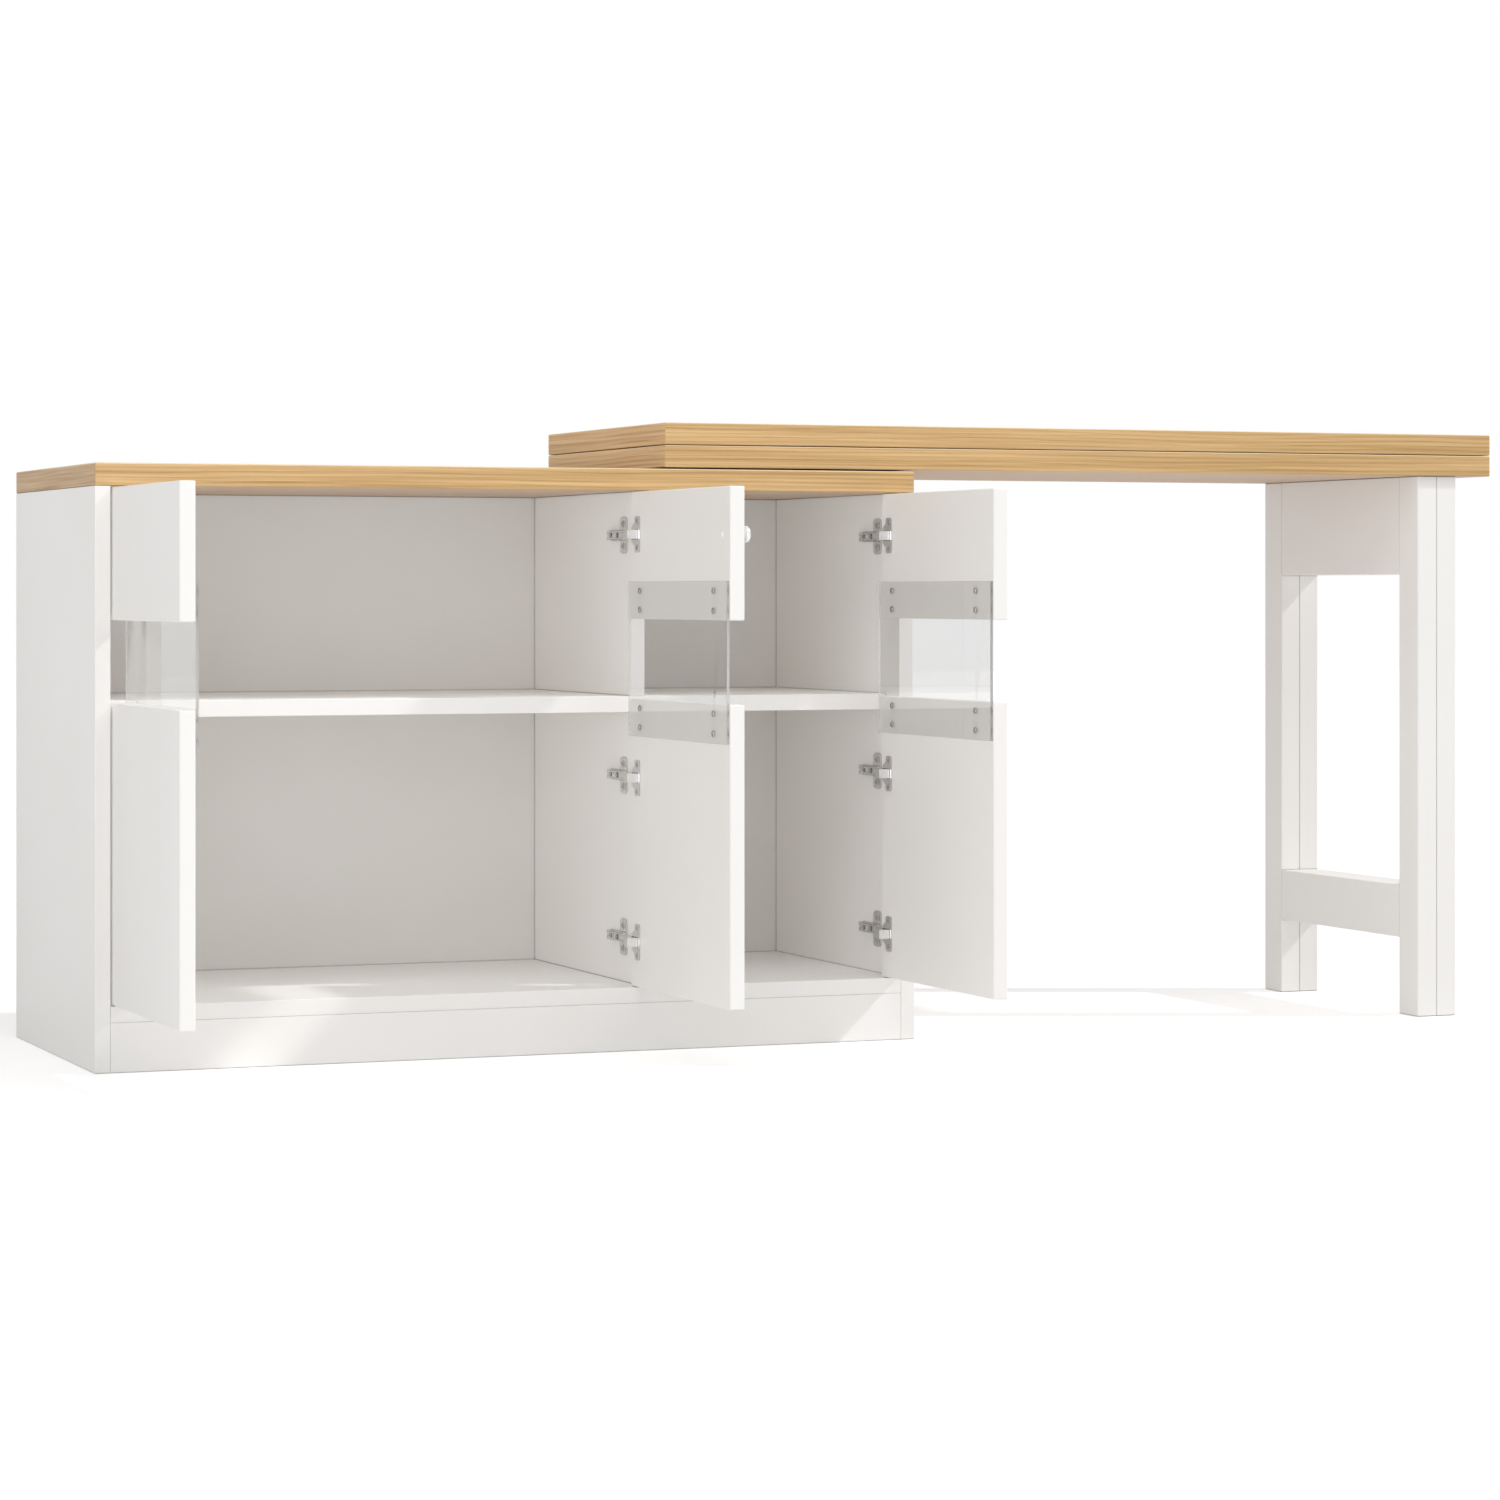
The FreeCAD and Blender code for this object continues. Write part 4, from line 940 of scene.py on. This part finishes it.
def makeClearPlate(look):
    # polished sheet, a hair's breadth off the painted panels that it joins
    inner = cupLook["doorThickness"]
    sheet = addBlock((look["inset"], inner + look["air"], look["low"]),
                     (look["width"] - look["inset"], inner + look["thickness"], look["high"]))
    holes = [addRod((x, 0, z), look["hole"], inner - past, inner + look["thickness"] + past, sides=24)
             for x in look["screwsAcross"] for z in look["screwsUp"]]
    combine(sheet, holes, "DIFFERENCE")
    return easeEdges(sheet, look["edge"], 2, look["edgeAngle"])


def placeClearPlates():
    sheet = makeClearPlate(plateLook)
    top = cupLook["doorThickness"] + plateLook["thickness"]
    for name in doorNames:
        door, place = name + "_door", openPlace[name]
        joinAs(name + "_clear_sheet", [copyTo(sheet, place)], door, "clear_plate", door + "_clear_plate")
        fixings = [copyScrew("plateScrew", place, x, top, z, "+y")
                   for x in plateLook["screwsAcross"] for z in plateLook["screwsUp"]]
        fixings = joinAs(name + "_sheet_screws", fixings, door, "nickel", door + "_plate_screws")
        fixings.data.materials[0] = sheetScrewMetal
    bpy.data.objects.remove(sheet)


knobLook = {
    "fromHinge": 417.667, "height": 855.0, "steps": 48,
    "profile": [(0, 0), (8.5, 0), (8.5, 1.6), (8.0, 2.5), (7.2, 2.9), (6.2, 4.0), (5.9, 5.6), (6.2, 7.2), (7.4, 8.6),
                (9.6, 9.9), (11.8, 11.3), (13.3, 13.0), (14.0, 15.0), (13.8, 17.0), (12.8, 18.8), (11.0, 20.3),
                (8.4, 21.3), (5.0, 21.85), (0, 22.0)],
}


def makeKnob(look):
    knob = turnProfile(look["profile"], look["steps"])
    rounder = knob.modifiers.new("round", "SUBSURF")
    rounder.levels = rounder.render_levels = 1
    applyModifiers(knob)
    bpy.ops.object.shade_smooth_by_angle(angle=math.radians(40))
    return knob


def placeKnob():
    knob = makeKnob(knobLook)
    turned = Matrix.Rotation(math.radians(90), 4, "X")
    place = openPlace["middle"] @ at(knobLook["fromHinge"], 0, knobLook["height"]) @ turned
    joinAs("round_knob", [copyTo(knob, place)], "middle_door", "nickel", "door_knob")
    bpy.data.objects.remove(knob)


placeHinges()
placeClearPlates()
placeKnob()
for screw in screws.values():
    bpy.data.objects.remove(screw)
print("hinges, clear plates, screws and knob modelled")


# studio: white floor and surroundings, soft overall light, a small key lamp from the right and three soft lamps
studio = {
    "floorSize": 60.0,
    "floorHeight": -0.0005,  # just clear of the boards' lower faces
    "floorColour": (0.80, 0.80, 0.80, 1),
    "floorGlow": 0.42,
    "skyLevel": 0.50,
    "skyColour": (1.0, 0.985, 0.965, 1),
    "keyDirection": (-1.0, 0.40, -0.965),
    "keyStrength": 1.40,
    "keyAngle": 3.0,
    "softLamps": {
        "frontLeftLamp": {"place": (-4.2, -7.0, 1.6), "aim": (-0.4, 0.0, 0.5), "size": (4.0, 3.0), "power": 57.0},
        "leftLamp": {"place": (-8.0, -3.5, 1.4), "aim": (-0.3, 0.0, 0.5), "size": (4.0, 3.0), "power": 55.0},
        "highLamp": {"place": (-0.7, -3.2, 5.0), "aim": (-0.6, 0.0, 0.2), "size": (4.0, 3.0), "power": 74.0},
    },
    # white compartments pass light on many times, and the clear sheets' edges even more often
    "bounces": {"max_bounces": 48, "glossy_bounces": 40, "transmission_bounces": 40, "diffuse_bounces": 12},
}


def seenDirectly(tree, place):
    # 1 where the background itself is seen: straight, in a mirror or through the clear sheets
    path = addNode(tree, "ShaderNodeLightPath", place).outputs
    both = mathNode(tree, "MAXIMUM", path["Is Camera Ray"], path["Is Glossy Ray"], (place[0] + 200, place[1]))
    return mathNode(tree, "MAXIMUM", both, path["Is Transmission Ray"], (place[0] + 400, place[1]))


def makeFloor(look):
    bpy.ops.object.select_all(action="DESELECT")
    bpy.ops.mesh.primitive_plane_add(size=look["floorSize"], location=(0, 0, look["floorHeight"]))
    floor = bpy.context.object
    floor.name = "studioFloor"
    material = bpy.data.materials.new("studioFloor")
    material.use_nodes = True
    tree = material.node_tree
    tree.nodes.clear()
    matt = addNode(tree, "ShaderNodeBsdfDiffuse", (0, 0), {"Color": look["floorColour"]})
    level = mathNode(tree, "MULTIPLY", seenDirectly(tree, (-800, -200)), look["floorGlow"], (-200, -200))
    glow = addNode(tree, "ShaderNodeEmission", (0, -200), {"Strength": level})
    both = addNode(tree, "ShaderNodeAddShader", (250, 0), {0: matt.outputs[0], 1: glow.outputs[0]})
    addNode(tree, "ShaderNodeOutputMaterial", (450, 0), {"Surface": both.outputs[0]})
    floor.data.materials.append(material)


def makeSky(look):
    world = bpy.data.worlds.new("studioSky")
    bpy.context.scene.world = world
    world.use_nodes = True
    tree = world.node_tree
    tree.nodes.clear()
    white = addNode(tree, "ShaderNodeBackground", (0, 0), {"Color": (1, 1, 1, 1), "Strength": 1.0})
    soft = addNode(tree, "ShaderNodeBackground", (0, 200), {"Color": look["skyColour"], "Strength": look["skyLevel"]})
    either = addNode(tree, "ShaderNodeMixShader", (250, 0), {
        0: seenDirectly(tree, (-800, 0)), 1: soft.outputs[0], 2: white.outputs[0]})
    addNode(tree, "ShaderNodeOutputWorld", (450, 0), {"Surface": either.outputs[0]})


def makeKeyLamp(look):
    bpy.ops.object.light_add(type="SUN", location=(4, -3, 4))
    lamp = bpy.context.object
    lamp.name = "keyLamp"
    lamp.data.energy = look["keyStrength"]
    lamp.data.angle = math.radians(look["keyAngle"])
    lamp.rotation_euler = Vector(look["keyDirection"]).to_track_quat("-Z", "Y").to_euler()


def makeSoftLamps(look):
    for name, lampLook in look["softLamps"].items():
        place = Vector(lampLook["place"])
        bpy.ops.object.light_add(type="AREA", location=place)
        lamp = bpy.context.object
        lamp.name = name
        lamp.data.shape = "RECTANGLE"
        lamp.data.size, lamp.data.size_y = lampLook["size"]
        lamp.data.energy = lampLook["power"]
        lamp.rotation_euler = (Vector(lampLook["aim"]) - place).to_track_quat("-Z", "Y").to_euler()


makeFloor(studio)
makeSky(studio)
makeKeyLamp(studio)
makeSoftLamps(studio)
for limit, count in studio["bounces"].items():
    setattr(bpy.context.scene.cycles, limit, count)

cameraView = {
    "place": (-2.7923, -6.7009, 0.7662),
    "turn": -21.679,
    "sensor": 36.0,
    "lens": 101.556,
    "shiftY": -0.1062,
}


def makeCamera(look):
    bpy.ops.object.camera_add(location=look["place"], rotation=(math.radians(90), 0, math.radians(look["turn"])))
    camera = bpy.context.object
    camera.name = "photoCamera"
    camera.data.sensor_width = look["sensor"]
    camera.data.lens = look["lens"]
    camera.data.shift_y = look["shiftY"]
    bpy.context.scene.camera = camera


makeCamera(cameraView)
bpy.context.scene.view_settings.view_transform = "Standard"
print("studio and camera ready")
